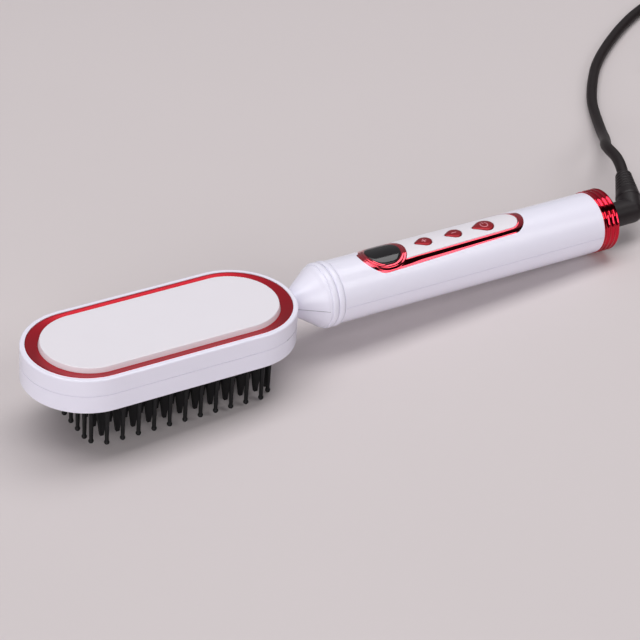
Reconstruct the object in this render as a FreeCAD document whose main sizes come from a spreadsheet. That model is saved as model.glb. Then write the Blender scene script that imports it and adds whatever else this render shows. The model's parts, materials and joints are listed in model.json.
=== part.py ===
# Hair straightening brush: paddle head with heated combs, round handle with a control panel,
# swivel cord. Built straight in the brush's own frame (X along the handle from the neck's root,
# parting plane at z = 0), then every piece gets the same resting placement, which stands the
# brush on its bristle tips and its end ring with the table at z = 0.
import FreeCAD
import Part
import math
import os
import Sketcher
from FreeCAD import Placement, Rotation, Vector
from types import SimpleNamespace

SIZES = {
    # head shell
    "head_length": 128.4,
    "head_width": 56.4,
    "head_upper": 8.0,
    "head_lower": 8.6,
    "head_wall": 2.0,
    "rim_round": 0.8,
    "edge_round": 0.5,
    # recess in the head's top, with its ring and panel
    "rim_land": 2.2,
    "recess_depth": 2.5,
    "recess_floor": 1.8,
    "ring_side": 4.5,
    "ring_end": 5.8,
    "ring_drop": 0.1,
    "ring_dish": 0.9,
    "ring_lip": 0.5,
    "panel_rise": 1.4,
    "panel_inset": 0.6,
    "panel_round": 0.35,
    # neck, collar and handle
    "neck_radius": 5.0,
    "neck_length": 11.5,
    "neck_overlap": 8.0,
    "shoulder_length": 2.9,
    "shoulder_drop": 2.0,
    "collar_rise": 0.3,
    "collar_pitch": 3.3,
    "collar_groove": 0.6,
    "collar_soft": 0.45,
    "groove_width": 0.6,
    "handle_radius": 14.5,
    "handle_end": 163.8,
    "handle_wall": 1.8,
    "seam_depth": 0.25,
    "seam_height": 0.15,
    "neck_bore": 3.2,
    "bore_start": 23.0,
    "bore_taper": 5.0,
    # end ring and swivel
    "end_ring_length": 8.3,
    "end_ring_rise": 0.4,
    "end_ring_wall": 1.8,
    "end_ring_round": 0.25,
    "flute_radius": 1.6,
    "flute_depth": 0.6,
    "flute_pitch": 2.5,
    "spigot_wall": 2.0,
    "end_plate_thick": 2.2,
    "end_plate_inset": 0.3,
    "swivel_neck": 5.0,
    "retainer_radius": 8.5,
    "retainer_thick": 1.5,
    "swivel_tail": 2.0,
    "elbow_radius": 6.0,
    "elbow_reach": 17.9,
    "outlet_length": 6.8,
    "outlet_tilt": 26.0,
    "outlet_rise": 15.0,
    "relief_length": 17.2,
    "relief_collar": 5.8,
    "relief_collar_length": 1.8,
    "relief_root": 5.4,
    "relief_tip": 3.6,
    "relief_lip": 0.7,
    "relief_ribs": 6,
    "rib_groove": 0.6,
    # bristle field
    "pins_in_row": 11,
    "row_margin": 3.8,
    "row_inset": 1.3,
    "pins_in_column": 6,
    "column_margin": 9.2,
    "column_inset": 3.9,
    "corner_pin_inset": 5.0,
    "pin_root": 1.15,
    "pin_neck": 0.85,
    "pin_ball": 1.2,
    "pin_depth": 27.4,
    "comb_rows": 6,
    "comb_margin": 1.3,
    "comb_rail": 1.2,
    "rail_width": 2.6,
    "tooth_depth": 27.0,
    "tooth_root": 6.2,
    "tooth_tip": 1.6,
    "tooth_root_thick": 2.4,
    "tooth_tip_thick": 1.5,
    # frame and heater stack in the head
    "frame_end_inset": 15.9,
    "frame_side_inset": 3.0,
    "frame_corner": 8.5,
    "flange_corner": 10.5,
    "frame_inset": 0.3,
    "frame_flange": 1.7,
    "frame_side_flange": 0.4,
    "frame_flange_thick": 1.2,
    "plate_end_inset": 6.8,
    "plate_side_inset": 3.8,
    "plate_corner": 3.0,
    "plate_inset": 0.6,
    "plate_flange": 2.0,
    "plate_flange_thick": 1.2,
    "heater_length": 32.0,
    "heater_width": 14.0,
    "heater_thick": 2.5,
    "heater_gap": 8.0,
    "clamp_width": 23.0,
    "clamp_thick": 0.8,
    "sheet_width": 13.0,
    "sheet_thick": 0.4,
    "clamp_screw_x": 20.0,
    "clamp_screw_y": 9.2,
    "screw_shank": 1.2,
    "screw_head": 2.2,
    "screw_head_thick": 1.3,
    "fuse_radius": 1.6,
    "fuse_length": 10.0,
    "sensor_radius": 1.2,
    "sensor_height": 2.2,
    "lead_radius": 0.9,
    "heater_lead_y": 1.3,
    "mains_lead_y": 3.4,
    # screws that close the head
    "post_end_inset": 10.0,
    "post_y": 9.0,
    "post_radius": 3.2,
    "counterbore": 2.6,
    "counterbore_depth": 3.0,
    # control panel on the handle
    "crown_radius": 22.0,
    "trim_rise": 0.35,
    "trim_head_x": 45.7,
    "trim_head_radius": 10.5,
    "trim_tail_x": 115.0,
    "trim_tail_radius": 8.85,
    "trim_skirt": 0.8,
    "strip_sink": 0.35,
    "strip_depth": 4.3,
    "strip_head_x": 48.0,
    "strip_head_radius": 7.3,
    "strip_tail_x": 114.5,
    "strip_tail_radius": 6.15,
    "display_rise": 0.25,
    "display_depth": 3.3,
    "display_x": 46.9,
    "display_span": 2.0,
    "display_radius": 7.45,
    "display_band_radius": 10.3,
    "bezel_width": 1.7,
    "bezel_rise": 0.6,
    "button_one_x": 69.7,
    "button_pitch": 16.3,
    "button_length": 8.7,
    "button_half": 3.25,
    "power_length": 11.2,
    "power_half": 4.1,
    "button_point": 0.8,
    "button_proud": 0.35,
    "button_flange": 0.8,
    "flange_thick": 1.0,
    "button_travel": 0.5,
    "slot_depth": 6.5,
    # control board
    "board_start": 29.0,
    "board_end": 131.0,
    "board_depth": 8.9,
    "board_thick": 1.2,
    "board_width": 17.0,
    "boss_head_x": 34.5,
    "boss_tail_x": 125.0,
    "boss_radius": 2.6,
    "board_screw": 1.0,
    "board_screw_head": 2.0,
    "switch_size": 6.0,
    "switch_height": 2.2,
    "plunger_radius": 1.7,
    "plunger_depth": 1.2,
    "module_length": 11.0,
    "module_width": 11.5,
    # cord set
    "cord_diameter": 5.5,
    "coil_ahead": 178.4,
    "coil_aside": 122.4,
    "coil_radius": 40.75,
    "coil_gap": 0.6,
    "coil_turns": 3.5,
    "tie_thick": 0.8,
    "tie_width": 9.0,
    "plug_length": 34.0,
    "plug_width": 35.0,
    "plug_nose": 12.0,
    "plug_entry": 3.5,
    "plug_neck": 5.0,
    "plug_neck_length": 24.0,
    "plug_pin_radius": 2.4,
    "plug_pin_length": 19.0,
    "plug_pin_spacing": 19.0,
    # clearances
    "fit_gap": 0.1,
    "slide_gap": 0.25,
    "run_gap": 0.3,
}


def spelled(value):
    return value.text if isinstance(value, Size) else repr(float(value))


class Size(float):
    """A number from the sheet that remembers the expression it came from."""

    def __new__(cls, value, text):
        number = super().__new__(cls, value)
        number.text = text
        return number

    def __add__(self, other):
        return Size(float(self) + float(other), "(%s + %s)" % (self.text, spelled(other)))

    def __radd__(self, other):
        return Size(float(other) + float(self), "(%s + %s)" % (spelled(other), self.text))

    def __sub__(self, other):
        return Size(float(self) - float(other), "(%s - %s)" % (self.text, spelled(other)))

    def __rsub__(self, other):
        return Size(float(other) - float(self), "(%s - %s)" % (spelled(other), self.text))

    def __mul__(self, other):
        return Size(float(self) * float(other), "(%s * %s)" % (self.text, spelled(other)))

    __rmul__ = __mul__

    def __truediv__(self, other):
        return Size(float(self) / float(other), "(%s / %s)" % (self.text, spelled(other)))

    def __neg__(self):
        return Size(-float(self), "(-1 * %s)" % self.text)


doc = FreeCAD.newDocument("straightening_brush")
sheet = doc.addObject("Spreadsheet::Sheet", "Sizes")
for row, (alias, value) in enumerate(SIZES.items(), 1):
    sheet.set("A%d" % row, alias)
    sheet.set("B%d" % row, str(value))
    sheet.setAlias("B%d" % row, alias)
doc.recompute()
S = SimpleNamespace(**{alias: Size(sheet.get(alias), "Sizes." + alias) for alias in SIZES})
ABOVE = 6.0  # how far a cutting profile stands clear of what it cuts
subparts = []


# Document helpers

def bind(thing, values):
    for name, value in values.items():
        thing.setExpression(name, spelled(value))


def keep(thing, label):
    thing.Label = label
    subparts.append(thing)
    return thing


def new_body(label):
    return keep(doc.addObject("PartDesign::Body", label), label)


def new_sketch(body, name, role="XY_Plane", shift=0.0, lift=0.0):
    sketch = body.newObject("Sketcher::SketchObject", name)
    plane = next(part for part in body.Origin.OriginFeatures if part.Role == role)
    sketch.AttachmentSupport = [(plane, "")]
    sketch.MapMode = "FlatFace"
    bind(sketch, {"AttachmentOffset.Base.x": shift, "AttachmentOffset.Base.z": lift})
    return sketch


def fix(sketch, geometry, place, kind, value):
    """Hold one coordinate of a sketch point at a distance from the origin."""
    if abs(value) < 1e-9:
        axis = -2 if kind == "DistanceX" else -1
        sketch.addConstraint(Sketcher.Constraint("PointOnObject", geometry, place, axis))
        return
    ends = (-1, 1, geometry, place) if value > 0 else (geometry, place, -1, 1)
    distance = value if value > 0 else -value
    index = sketch.addConstraint(Sketcher.Constraint(kind, *ends, float(distance)))
    sketch.setExpression("Constraints[%d]" % index, spelled(distance))


def set_radius(sketch, geometry, value):
    index = sketch.addConstraint(Sketcher.Constraint("Radius", geometry, float(value)))
    sketch.setExpression("Constraints[%d]" % index, spelled(value))


def outline(sketch, points):
    """Closed polygon with each corner held by its two distances."""
    first = sketch.GeometryCount
    count = len(points)
    for (ax, ay), (bx, by) in zip(points, points[1:] + points[:1]):
        sketch.addGeometry(Part.LineSegment(Vector(ax, ay, 0), Vector(bx, by, 0)), False)
    for i in range(count):
        following = first + (i + 1) % count
        sketch.addConstraint(Sketcher.Constraint("Coincident", first + i, 2, following, 1))
    for i, (x, y) in enumerate(points, first):
        fix(sketch, i, 1, "DistanceX", x)
        fix(sketch, i, 1, "DistanceY", y)


def circle(sketch, x, y, radius):
    index = sketch.addGeometry(Part.Circle(Vector(x, y, 0), Vector(0, 0, 1), radius), False)
    fix(sketch, index, 3, "DistanceX", x)
    fix(sketch, index, 3, "DistanceY", y)
    set_radius(sketch, index, radius)


def capsule(sketch, left_x, left_radius, right_x, right_radius):
    """Two arcs on the X axis joined by their outer tangents."""
    lean_in = math.asin((left_radius - right_radius) / (right_x - left_x))
    meet = math.pi / 2 - lean_in
    up = Vector(math.cos(meet), math.sin(meet), 0)
    down = Vector(up.x, -up.y, 0)
    left, right = Vector(left_x, 0, 0), Vector(right_x, 0, 0)
    normal = Vector(0, 0, 1)
    first = sketch.addGeometry(Part.ArcOfCircle(Part.Circle(right, normal, right_radius), -meet, meet))
    sketch.addGeometry(Part.LineSegment(right + up * float(right_radius), left + up * float(left_radius)))
    sketch.addGeometry(Part.ArcOfCircle(Part.Circle(left, normal, left_radius), meet, 2 * math.pi - meet))
    sketch.addGeometry(Part.LineSegment(left + down * float(left_radius), right + down * float(right_radius)))
    for i in range(4):
        sketch.addConstraint(Sketcher.Constraint("Tangent", first + i, 2, first + (i + 1) % 4, 1))
    for arc, x, radius in ((first, right_x, right_radius), (first + 2, left_x, left_radius)):
        fix(sketch, arc, 3, "DistanceX", x)
        fix(sketch, arc, 3, "DistanceY", 0.0)
        set_radius(sketch, arc, radius)


def rounded_rectangle(sketch, length, width, corner):
    """Rectangle about the origin with four round corners."""
    x, y, r = float(length / 2), float(width / 2), float(corner)
    normal = Vector(0, 0, 1)
    corners = ((x - r, y - r, 0), (r - x, y - r, 1), (r - x, r - y, 2), (x - r, r - y, 3))
    ends = []
    for cx, cy, quarter in corners:
        start = quarter * math.pi / 2
        arc = Part.ArcOfCircle(Part.Circle(Vector(cx, cy, 0), normal, r), start, start + math.pi / 2)
        sketch.addGeometry(arc)
        ends.append((arc.StartPoint, arc.EndPoint))
    for i in range(4):
        sketch.addGeometry(Part.LineSegment(ends[i][1], ends[(i + 1) % 4][0]))
    for i in range(4):
        sketch.addConstraint(Sketcher.Constraint("Tangent", i, 2, 4 + i, 1))
        sketch.addConstraint(Sketcher.Constraint("Tangent", 4 + i, 2, (i + 1) % 4, 1))
    for line, kind in ((4, "Horizontal"), (5, "Vertical"), (6, "Horizontal"), (7, "Vertical")):
        sketch.addConstraint(Sketcher.Constraint(kind, line))
    for i in range(3):
        sketch.addConstraint(Sketcher.Constraint("Equal", i, i + 1))
    set_radius(sketch, 0, corner)
    fix(sketch, 4, 1, "DistanceY", width / 2)
    fix(sketch, 6, 1, "DistanceY", -(width / 2))
    fix(sketch, 7, 1, "DistanceX", length / 2)
    fix(sketch, 5, 1, "DistanceX", -(length / 2))


def pad(body, sketch, length):
    feature = body.newObject("PartDesign::Pad", sketch.Name + "_pad")
    feature.Profile = sketch
    bind(feature, {"Length": length})
    return feature


def pocket(body, sketch, length=None, upward=False):
    """Cut down from the sketch, or up, or right through both ways when no length is given."""
    before = body.Tip.Shape.Volume if body.Tip.Shape.isNull() is False else 0.0
    feature = body.newObject("PartDesign::Pocket", sketch.Name + "_cut")
    feature.Profile = sketch
    if length is None:
        feature.Type = "ThroughAll"
        feature.SideType = "Symmetric"
    else:
        bind(feature, {"Length": length})
        feature.Reversed = upward
    doc.recompute()
    if feature.Shape.Volume >= before:
        raise ValueError(sketch.Name + " cuts nothing")
    return feature


def turn(body, sketch, kind="Revolution", angle=360.0):
    """Turn a profile about the sketch's X axis, as a solid or as a cut."""
    feature = body.newObject("PartDesign::" + kind, sketch.Name + "_turn")
    feature.Profile = sketch
    feature.ReferenceAxis = (sketch, ["H_Axis"])
    feature.Angle = angle
    feature.Midplane = angle < 360.0
    return feature


def loft(body, lower, upper, kind="AdditiveLoft"):
    feature = body.newObject("PartDesign::" + kind, lower.Name + "_loft")
    feature.Profile = lower
    feature.Sections = [upper]
    feature.Ruled = True
    return feature


def dress(body, kind, values, test):
    """Fillet or chamfer the edges of the tip that pass the test."""
    doc.recompute()
    tip = body.Tip
    names = ["Edge%d" % (i + 1) for i, edge in enumerate(tip.Shape.Edges) if test(edge)]
    feature = body.newObject("PartDesign::" + kind, "%s_%s_%d" % (body.Name, kind, len(names)))
    feature.Base = (tip, names)
    bind(feature, values)
    return feature


def level(edge, z):
    return abs(edge.BoundBox.ZMin - z) < 1e-4 and abs(edge.BoundBox.ZMax - z) < 1e-4


def block(name, x, y, z):
    """Box between two values on each axis."""
    solid = doc.addObject("Part::Box", name)
    bind(solid, {
        "Length": x[1] - x[0],
        "Width": y[1] - y[0],
        "Height": z[1] - z[0],
        "Placement.Base.x": x[0],
        "Placement.Base.y": y[0],
        "Placement.Base.z": z[0],
    })
    return solid


def rod(name, radius, base, length, along="Z"):
    """Cylinder from a base point along +X or +Z."""
    solid = doc.addObject("Part::Cylinder", name)
    if along == "X":
        solid.Placement.Rotation = Rotation(Vector(0, 1, 0), 90)
    bind(solid, {
        "Radius": radius,
        "Height": length,
        "Placement.Base.x": base[0],
        "Placement.Base.y": base[1],
        "Placement.Base.z": base[2],
    })
    return solid


def group(name, solids):
    together = doc.addObject("Part::Compound", name)
    together.Links = solids
    return together


def keep_one(solid, label):
    """Keep a primitive inside a group, whose placement is then free of the primitive's own."""
    return keep(group(label + "_group", [solid]), label)


def cut(name, base, tool):
    result = doc.addObject("Part::Cut", name)
    result.Base = base
    result.Tool = tool
    return result


def fuse(name, solids):
    result = doc.addObject("Part::MultiFuse", name)
    result.Shapes = solids
    return result


# Places that several pieces share

head_mid = -(S.head_length / 2)
head_half = S.head_width / 2
head_span = (S.head_length - S.head_width) / 2
recess_level = S.head_upper - S.recess_depth
ceiling = recess_level - S.recess_floor
floor_level = S.head_wall - S.head_lower
collar_radius = S.handle_radius + S.collar_rise
collar_start = S.neck_length + S.shoulder_length
collar_end = collar_start + 2 * S.collar_pitch
shoulder_radius = collar_radius - S.shoulder_drop
end_ring_radius = S.handle_radius + S.end_ring_rise
ring_bore = end_ring_radius - S.end_ring_wall
spigot_radius = ring_bore - S.fit_gap
spigot_bore = spigot_radius - S.spigot_wall
brush_end = S.handle_end + S.end_ring_length
plate_outer = brush_end - S.end_plate_inset
plate_inner = plate_outer - S.end_plate_thick
spigot_end = plate_inner - S.fit_gap
handle_bore = S.handle_radius - S.handle_wall
bore_end = S.handle_end - S.bore_taper
trim_top = S.handle_radius + S.trim_rise
trim_wall = S.fit_gap + S.trim_skirt
bezel_top = S.handle_radius + S.bezel_rise
strip_top = S.handle_radius - S.strip_sink
strip_bottom = S.handle_radius - S.strip_depth
display_top = S.handle_radius + S.display_rise
display_bottom = S.handle_radius - S.display_depth
slot_floor = S.handle_radius - S.slot_depth
board_top = S.handle_radius - S.board_depth
board_bottom = board_top - S.board_thick
frame_length = S.head_length - 2 * S.frame_end_inset
frame_width = S.head_width - 2 * S.frame_side_inset
plate_length = frame_length - 2 * S.plate_end_inset
plate_width = frame_width - 2 * S.plate_side_inset
post_x = S.head_length / 2 - S.post_end_inset
pin_row = frame_width / 2 - S.row_inset
pin_column = frame_length / 2 - S.column_inset
pin_pitch = (plate_length - 2 * S.row_margin) / (S.pins_in_row - 1)
column_pitch = (frame_width - 2 * S.column_margin) / (S.pins_in_column - 1)
comb_pitch = (plate_width - S.rail_width - 2 * S.comb_margin) / (S.comb_rows - 1)


# Housing halves

def head_outline(body, name, inset, lift):
    sketch = new_sketch(body, name, shift=head_mid, lift=lift)
    capsule(sketch, -head_span, head_half - inset, head_span, head_half - inset)
    return sketch


def handle_profile(side):
    """Neck cone with a round shoulder, two collar rings, handle and the spigot for the end ring."""
    points = [(-S.neck_overlap, 0.0), (-S.neck_overlap, S.neck_radius), (0.0, S.neck_radius)]
    for along, rise in ((0.0, 0.0), (0.45, 0.52), (0.88, 0.8)):
        x = S.neck_length + along * S.shoulder_length
        points.append((x, shoulder_radius + rise * S.shoulder_drop))
    floor = collar_radius - S.collar_groove
    soft = S.collar_soft
    half = S.groove_width / 2
    for i in range(2):
        groove = collar_start + i * S.collar_pitch
        start = groove + half
        stop = groove + S.collar_pitch - half
        points += [(groove, floor), (start, collar_radius - soft), (start + soft, collar_radius)]
        points += [(stop - soft, collar_radius), (stop, collar_radius - soft)]
    points += [(collar_end, floor), (collar_end + half, S.handle_radius), (S.handle_end, S.handle_radius)]
    points += [(S.handle_end, spigot_radius), (spigot_end, spigot_radius), (spigot_end, 0.0)]
    return [(x, y if side > 0 else -y) for x, y in points]


def bore_profile(side):
    """Wire channel through the neck, the hollow handle and the narrower spigot."""
    points = [
        (-S.neck_overlap - 1.0, 0.0),
        (-S.neck_overlap - 1.0, S.neck_bore),
        (S.bore_start, S.neck_bore),
        (S.bore_start + S.bore_taper, handle_bore),
        (bore_end, handle_bore),
        (bore_end, spigot_bore),
        (spigot_end + 1.0, spigot_bore),
        (spigot_end + 1.0, 0.0),
    ]
    return [(x, y if side > 0 else -y) for x, y in points]


def add_handle(body, side):
    shell = new_sketch(body, body.Name + "_handle", "XZ_Plane")
    outline(shell, handle_profile(side))
    turn(body, shell, angle=180.0)


def hollow_handle(body, side):
    hollow = new_sketch(body, body.Name + "_bore", "XZ_Plane")
    outline(hollow, bore_profile(side))
    turn(body, hollow, "Groove", 180.0)


def cut_seam(body, side):
    """Fine step along the outside of the parting plane, round the head, the cone and the handle."""
    depth = S.seam_depth
    head = head_outline(body, body.Name + "_head_seam", -depth, 0.0)
    capsule(head, -head_span, head_half - depth, head_span, head_half - depth)
    pocket(body, head, S.seam_height, upward=side > 0)
    grip = new_sketch(body, body.Name + "_handle_seam")
    root = S.neck_radius + (shoulder_radius - S.neck_radius) / S.neck_length
    for hand in (-1, 1):
        cone = [(1.0, root), (S.neck_length, shoulder_radius)]
        tube = [(collar_end + S.groove_width, S.handle_radius), (S.handle_end - 0.2, S.handle_radius)]
        for (start, near), (stop, far) in (cone, tube):
            corners = [(start, near - depth), (stop, far - depth)]
            corners += [(stop, far + 2 * depth), (start, near + 2 * depth)]
            outline(grip, [(x, hand * y) for x, y in corners])
    pocket(body, grip, S.seam_height, upward=side > 0)


def post_sketch(body, name, radius, lift):
    sketch = new_sketch(body, name, shift=head_mid, lift=lift)
    for x in (-post_x, post_x):
        for y in (-S.post_y, S.post_y):
            circle(sketch, x, y, radius)
    return sketch


def make_upper_housing():
    body = new_body("upper_housing")
    pad(body, head_outline(body, "upper_head", 0.0, 0.0), S.head_upper)
    dress(body, "Fillet", {"Radius": S.rim_round}, lambda edge: level(edge, S.head_upper))
    add_handle(body, 1)
    doc.recompute()
    pocket(body, head_outline(body, "upper_cavity", S.head_wall, 0.0), ceiling, upward=True)
    pocket(body, head_outline(body, "upper_recess", S.rim_land, S.head_upper), S.recess_depth)
    hollow_handle(body, 1)
    slot_lift = S.handle_radius + ABOVE
    slot = new_sketch(body, "control_slot", lift=slot_lift)
    around = trim_wall + S.slide_gap
    capsule(slot, S.display_x, S.display_radius + around, S.strip_tail_x, S.strip_tail_radius + around)
    doc.recompute()
    pocket(body, slot, slot_lift - slot_floor)
    cut_seam(body, 1)
    pad(body, post_sketch(body, "upper_posts", S.post_radius, 0.0), ceiling)
    bosses = new_sketch(body, "board_bosses", lift=board_top)
    for x in (S.boss_head_x, S.boss_tail_x):
        circle(bosses, x, 0.0, S.boss_radius)
    pad(body, bosses, handle_bore - board_top + S.handle_wall / 2)
    doc.recompute()
    pocket(body, post_sketch(body, "upper_pilots", S.screw_shank, 0.0), ceiling, upward=True)
    pilots = new_sketch(body, "boss_pilots", lift=board_top)
    for x in (S.boss_head_x, S.boss_tail_x):
        circle(pilots, x, 0.0, S.board_screw)
    pocket(body, pilots, handle_bore - board_top - S.handle_wall, upward=True)


def make_lower_housing():
    body = new_body("lower_housing")
    pad(body, head_outline(body, "lower_head", 0.0, -S.head_lower), S.head_lower)
    dress(body, "Fillet", {"Radius": S.edge_round}, lambda edge: level(edge, -S.head_lower))
    add_handle(body, -1)
    doc.recompute()
    pocket(body, head_outline(body, "lower_cavity", S.head_wall, 0.0), S.head_lower - S.head_wall)
    hollow_handle(body, -1)
    doc.recompute()
    cut_seam(body, -1)
    pad(body, post_sketch(body, "lower_posts", S.post_radius, floor_level), -floor_level)
    window = new_sketch(body, "bristle_window", shift=head_mid)
    gap = 2 * S.slide_gap
    rounded_rectangle(window, frame_length + gap, frame_width + gap, S.frame_corner + S.slide_gap)
    doc.recompute()
    pocket(body, window, S.head_lower + 1.0)
    clearance = S.screw_shank + S.slide_gap
    pocket(body, post_sketch(body, "lower_clearance", clearance, 0.0), S.head_lower + 1.0)
    sinks = post_sketch(body, "counterbores", S.counterbore, -S.head_lower)
    pocket(body, sinks, S.counterbore_depth, upward=True)


# Ring and panel in the head's recess

panel_half = head_half - S.rim_land - S.ring_side
panel_span = S.head_length / 2 - S.rim_land - S.ring_end - panel_half
ring_top = S.head_upper - S.ring_drop


def panel_outline(body, name, grow, lift):
    sketch = new_sketch(body, name, shift=head_mid, lift=lift)
    capsule(sketch, -panel_span, panel_half + grow, panel_span, panel_half + grow)
    return sketch


def make_head_trim_ring():
    body = new_body("head_trim_ring")
    edge = S.rim_land + S.fit_gap
    pad(body, head_outline(body, "ring_blank", edge, recess_level), ring_top - recess_level)
    dish_edge = head_outline(body, "ring_dish_edge", edge + S.ring_lip, ring_top)
    dish_foot = panel_outline(body, "ring_dish_foot", S.fit_gap, ring_top - S.ring_dish)
    loft(body, dish_edge, dish_foot, "SubtractiveLoft")
    doc.recompute()
    pocket(body, panel_outline(body, "ring_hole", S.fit_gap, ring_top), S.recess_depth + 1.0)


def make_head_panel():
    body = new_body("head_panel")
    foot = ring_top - S.ring_dish
    pad(body, panel_outline(body, "panel_base", 0.0, recess_level), foot - recess_level)
    top = S.head_upper + S.panel_rise
    slope_foot = panel_outline(body, "panel_slope_foot", 0.0, foot)
    loft(body, slope_foot, panel_outline(body, "panel_slope_top", -S.panel_inset, top))
    dress(body, "Fillet", {"Radius": S.panel_round}, lambda edge: level(edge, top))


# Bristle field

frame_bottom = S.frame_inset - S.head_lower
frame_top = floor_level + S.frame_flange_thick
plate_bottom = S.plate_inset - S.head_lower
plate_top = frame_top + S.plate_flange_thick
rail_bottom = plate_bottom - S.comb_rail


def make_pin_frame():
    body = new_body("pin_frame")
    lower = new_sketch(body, "frame_lower", shift=head_mid, lift=frame_bottom)
    rounded_rectangle(lower, frame_length, frame_width, S.frame_corner)
    pad(body, lower, floor_level - frame_bottom)
    flange = new_sketch(body, "frame_flange_outline", shift=head_mid, lift=floor_level)
    length = frame_length + 2 * S.frame_flange
    width = frame_width + 2 * S.frame_side_flange
    rounded_rectangle(flange, length, width, S.flange_corner)
    pad(body, flange, S.frame_flange_thick)
    opening = new_sketch(body, "frame_opening", shift=head_mid, lift=frame_top)
    gap = 2 * S.slide_gap
    rounded_rectangle(opening, plate_length + gap, plate_width + gap, S.plate_corner + S.slide_gap)
    doc.recompute()
    pocket(body, opening, S.head_lower)


def make_heat_plate():
    body = new_body("heat_plate")
    lower = new_sketch(body, "plate_lower", shift=head_mid, lift=plate_bottom)
    rounded_rectangle(lower, plate_length, plate_width, S.plate_corner)
    pad(body, lower, frame_top - plate_bottom)
    flange = new_sketch(body, "plate_flange_outline", shift=head_mid, lift=frame_top)
    grow = 2 * S.plate_flange
    rounded_rectangle(flange, plate_length + grow, plate_width + grow, S.plate_corner)
    pad(body, flange, S.plate_flange_thick)
    holes = new_sketch(body, "clamp_holes", shift=head_mid, lift=plate_top)
    for x, y in clamp_screw_places():
        circle(holes, x, y, S.screw_shank)
    doc.recompute()
    pocket(body, holes, S.plate_flange_thick)


def clamp_screw_places():
    return [(x, y) for x in (-S.clamp_screw_x, S.clamp_screw_x) for y in (-S.clamp_screw_y, S.clamp_screw_y)]


def solid_group(label, solids):
    feature = keep(doc.addObject("Part::Feature", label), label)
    feature.Shape = Part.makeCompound(solids)
    return feature


def pin_places():
    """Long rows, corner pins and end columns round the heated field."""
    places = []
    middle = (S.pins_in_row - 1) / 2
    for side in (-1, 1):
        places += [((i - middle) * pin_pitch, side * pin_row) for i in range(int(S.pins_in_row))]
        corner_x = frame_length / 2 - S.corner_pin_inset
        corner_y = frame_width / 2 - S.corner_pin_inset
        places += [(end * corner_x, side * corner_y) for end in (-1, 1)]
    middle = (S.pins_in_column - 1) / 2
    for end in (-1, 1):
        for i in range(int(S.pins_in_column)):
            places.append((end * pin_column, (i - middle) * column_pitch))
    return [Vector(head_mid + x, y, 0) for x, y in places]


def make_nylon_pins():
    """Each pin tapers from its root to a slim neck and ends in a ball."""
    drop = S.pin_depth + frame_bottom
    shaft = Part.makeCone(S.pin_root, S.pin_neck, drop, Vector(0, 0, frame_bottom), Vector(0, 0, -1))
    ball = Part.makeSphere(S.pin_ball, Vector(0, 0, -S.pin_depth))
    pin = shaft.fuse(ball).removeSplitter()
    solid_group("nylon_pins", [pin.translated(place) for place in pin_places()])


def comb_places():
    middle = (S.comb_rows - 1) / 2
    return [(i - middle) * comb_pitch for i in range(int(S.comb_rows))]


def make_heated_combs():
    """A rail with a row of teeth that taper both ways towards their tips."""
    length = S.tooth_depth + rail_bottom
    root, tip = S.tooth_root / 2, S.tooth_tip / 2
    thick, thin = S.tooth_root_thick / 2, S.tooth_tip_thick / 2
    tooth = Part.makeWedge(-root, 0, -thick, -thin, -tip, root, length, thick, thin, tip)
    tooth.rotate(Vector(0, 0, 0), Vector(1, 0, 0), -90)
    middle = (S.pins_in_row - 1) / 2
    places = [Vector((i - middle) * pin_pitch, 0, rail_bottom) for i in range(int(S.pins_in_row))]
    rail_length = (S.pins_in_row - 1) * pin_pitch + S.tooth_root
    corner = Vector(-rail_length / 2, -S.rail_width / 2, rail_bottom)
    rail = Part.makeBox(rail_length, S.rail_width, S.comb_rail, corner)
    comb = rail.fuse([tooth.translated(place) for place in places]).removeSplitter()
    solid_group("heated_combs", [comb.translated(Vector(head_mid, y, 0)) for y in comb_places()])


# Heater stack in the head

heater_top = plate_top + S.heater_thick
clamp_top = heater_top + S.clamp_thick
sheet_top = clamp_top + S.sheet_thick
clamp_half = S.heater_length + S.heater_gap / 2


def make_heater_stack():
    heaters = []
    for name, start in (("rear_heater", S.heater_gap / 2), ("front_heater", -clamp_half)):
        x = head_mid + start
        y = S.heater_width / 2
        heaters.append(block(name, (x, x + S.heater_length), (-y, y), (plate_top, heater_top)))
    keep(group("heaters", heaters), "ptc_heaters")
    x = (head_mid - clamp_half, head_mid + clamp_half)
    y = S.clamp_width / 2
    leaf = block("clamp_leaf", x, (-y, y), (heater_top, clamp_top))
    holes = []
    screws = []
    for i, (sx, sy) in enumerate(clamp_screw_places()):
        base = (head_mid + sx, sy)
        clearance = S.screw_shank + S.slide_gap
        holes.append(rod("clamp_hole_%d" % i, clearance, (*base, heater_top), S.clamp_thick))
        shank_start = plate_top - S.plate_flange_thick
        shank = rod("clamp_shank_%d" % i, S.screw_shank, (*base, shank_start), clamp_top - shank_start)
        head = rod("clamp_head_%d" % i, S.screw_head, (*base, clamp_top), S.screw_head_thick)
        screws.append(fuse("clamp_screw_%d" % i, [shank, head]))
    keep(cut("clamp", leaf, group("clamp_holes_tool", holes)), "heater_clamp")
    keep(group("clamp_screws", screws), "heat_plate_screws")
    y = S.sheet_width / 2
    keep_one(block("sheet", x, (-y, y), (clamp_top, sheet_top)), "insulation_sheet")
    base = (head_mid - S.fuse_length / 2, 0.0, sheet_top + S.fuse_radius)
    keep_one(rod("fuse", S.fuse_radius, base, S.fuse_length, "X"), "thermal_fuse")
    bead = rod("sensor", S.sensor_radius, (head_mid, 0.0, plate_top), S.sensor_height)
    keep_one(bead, "temperature_sensor")


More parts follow.
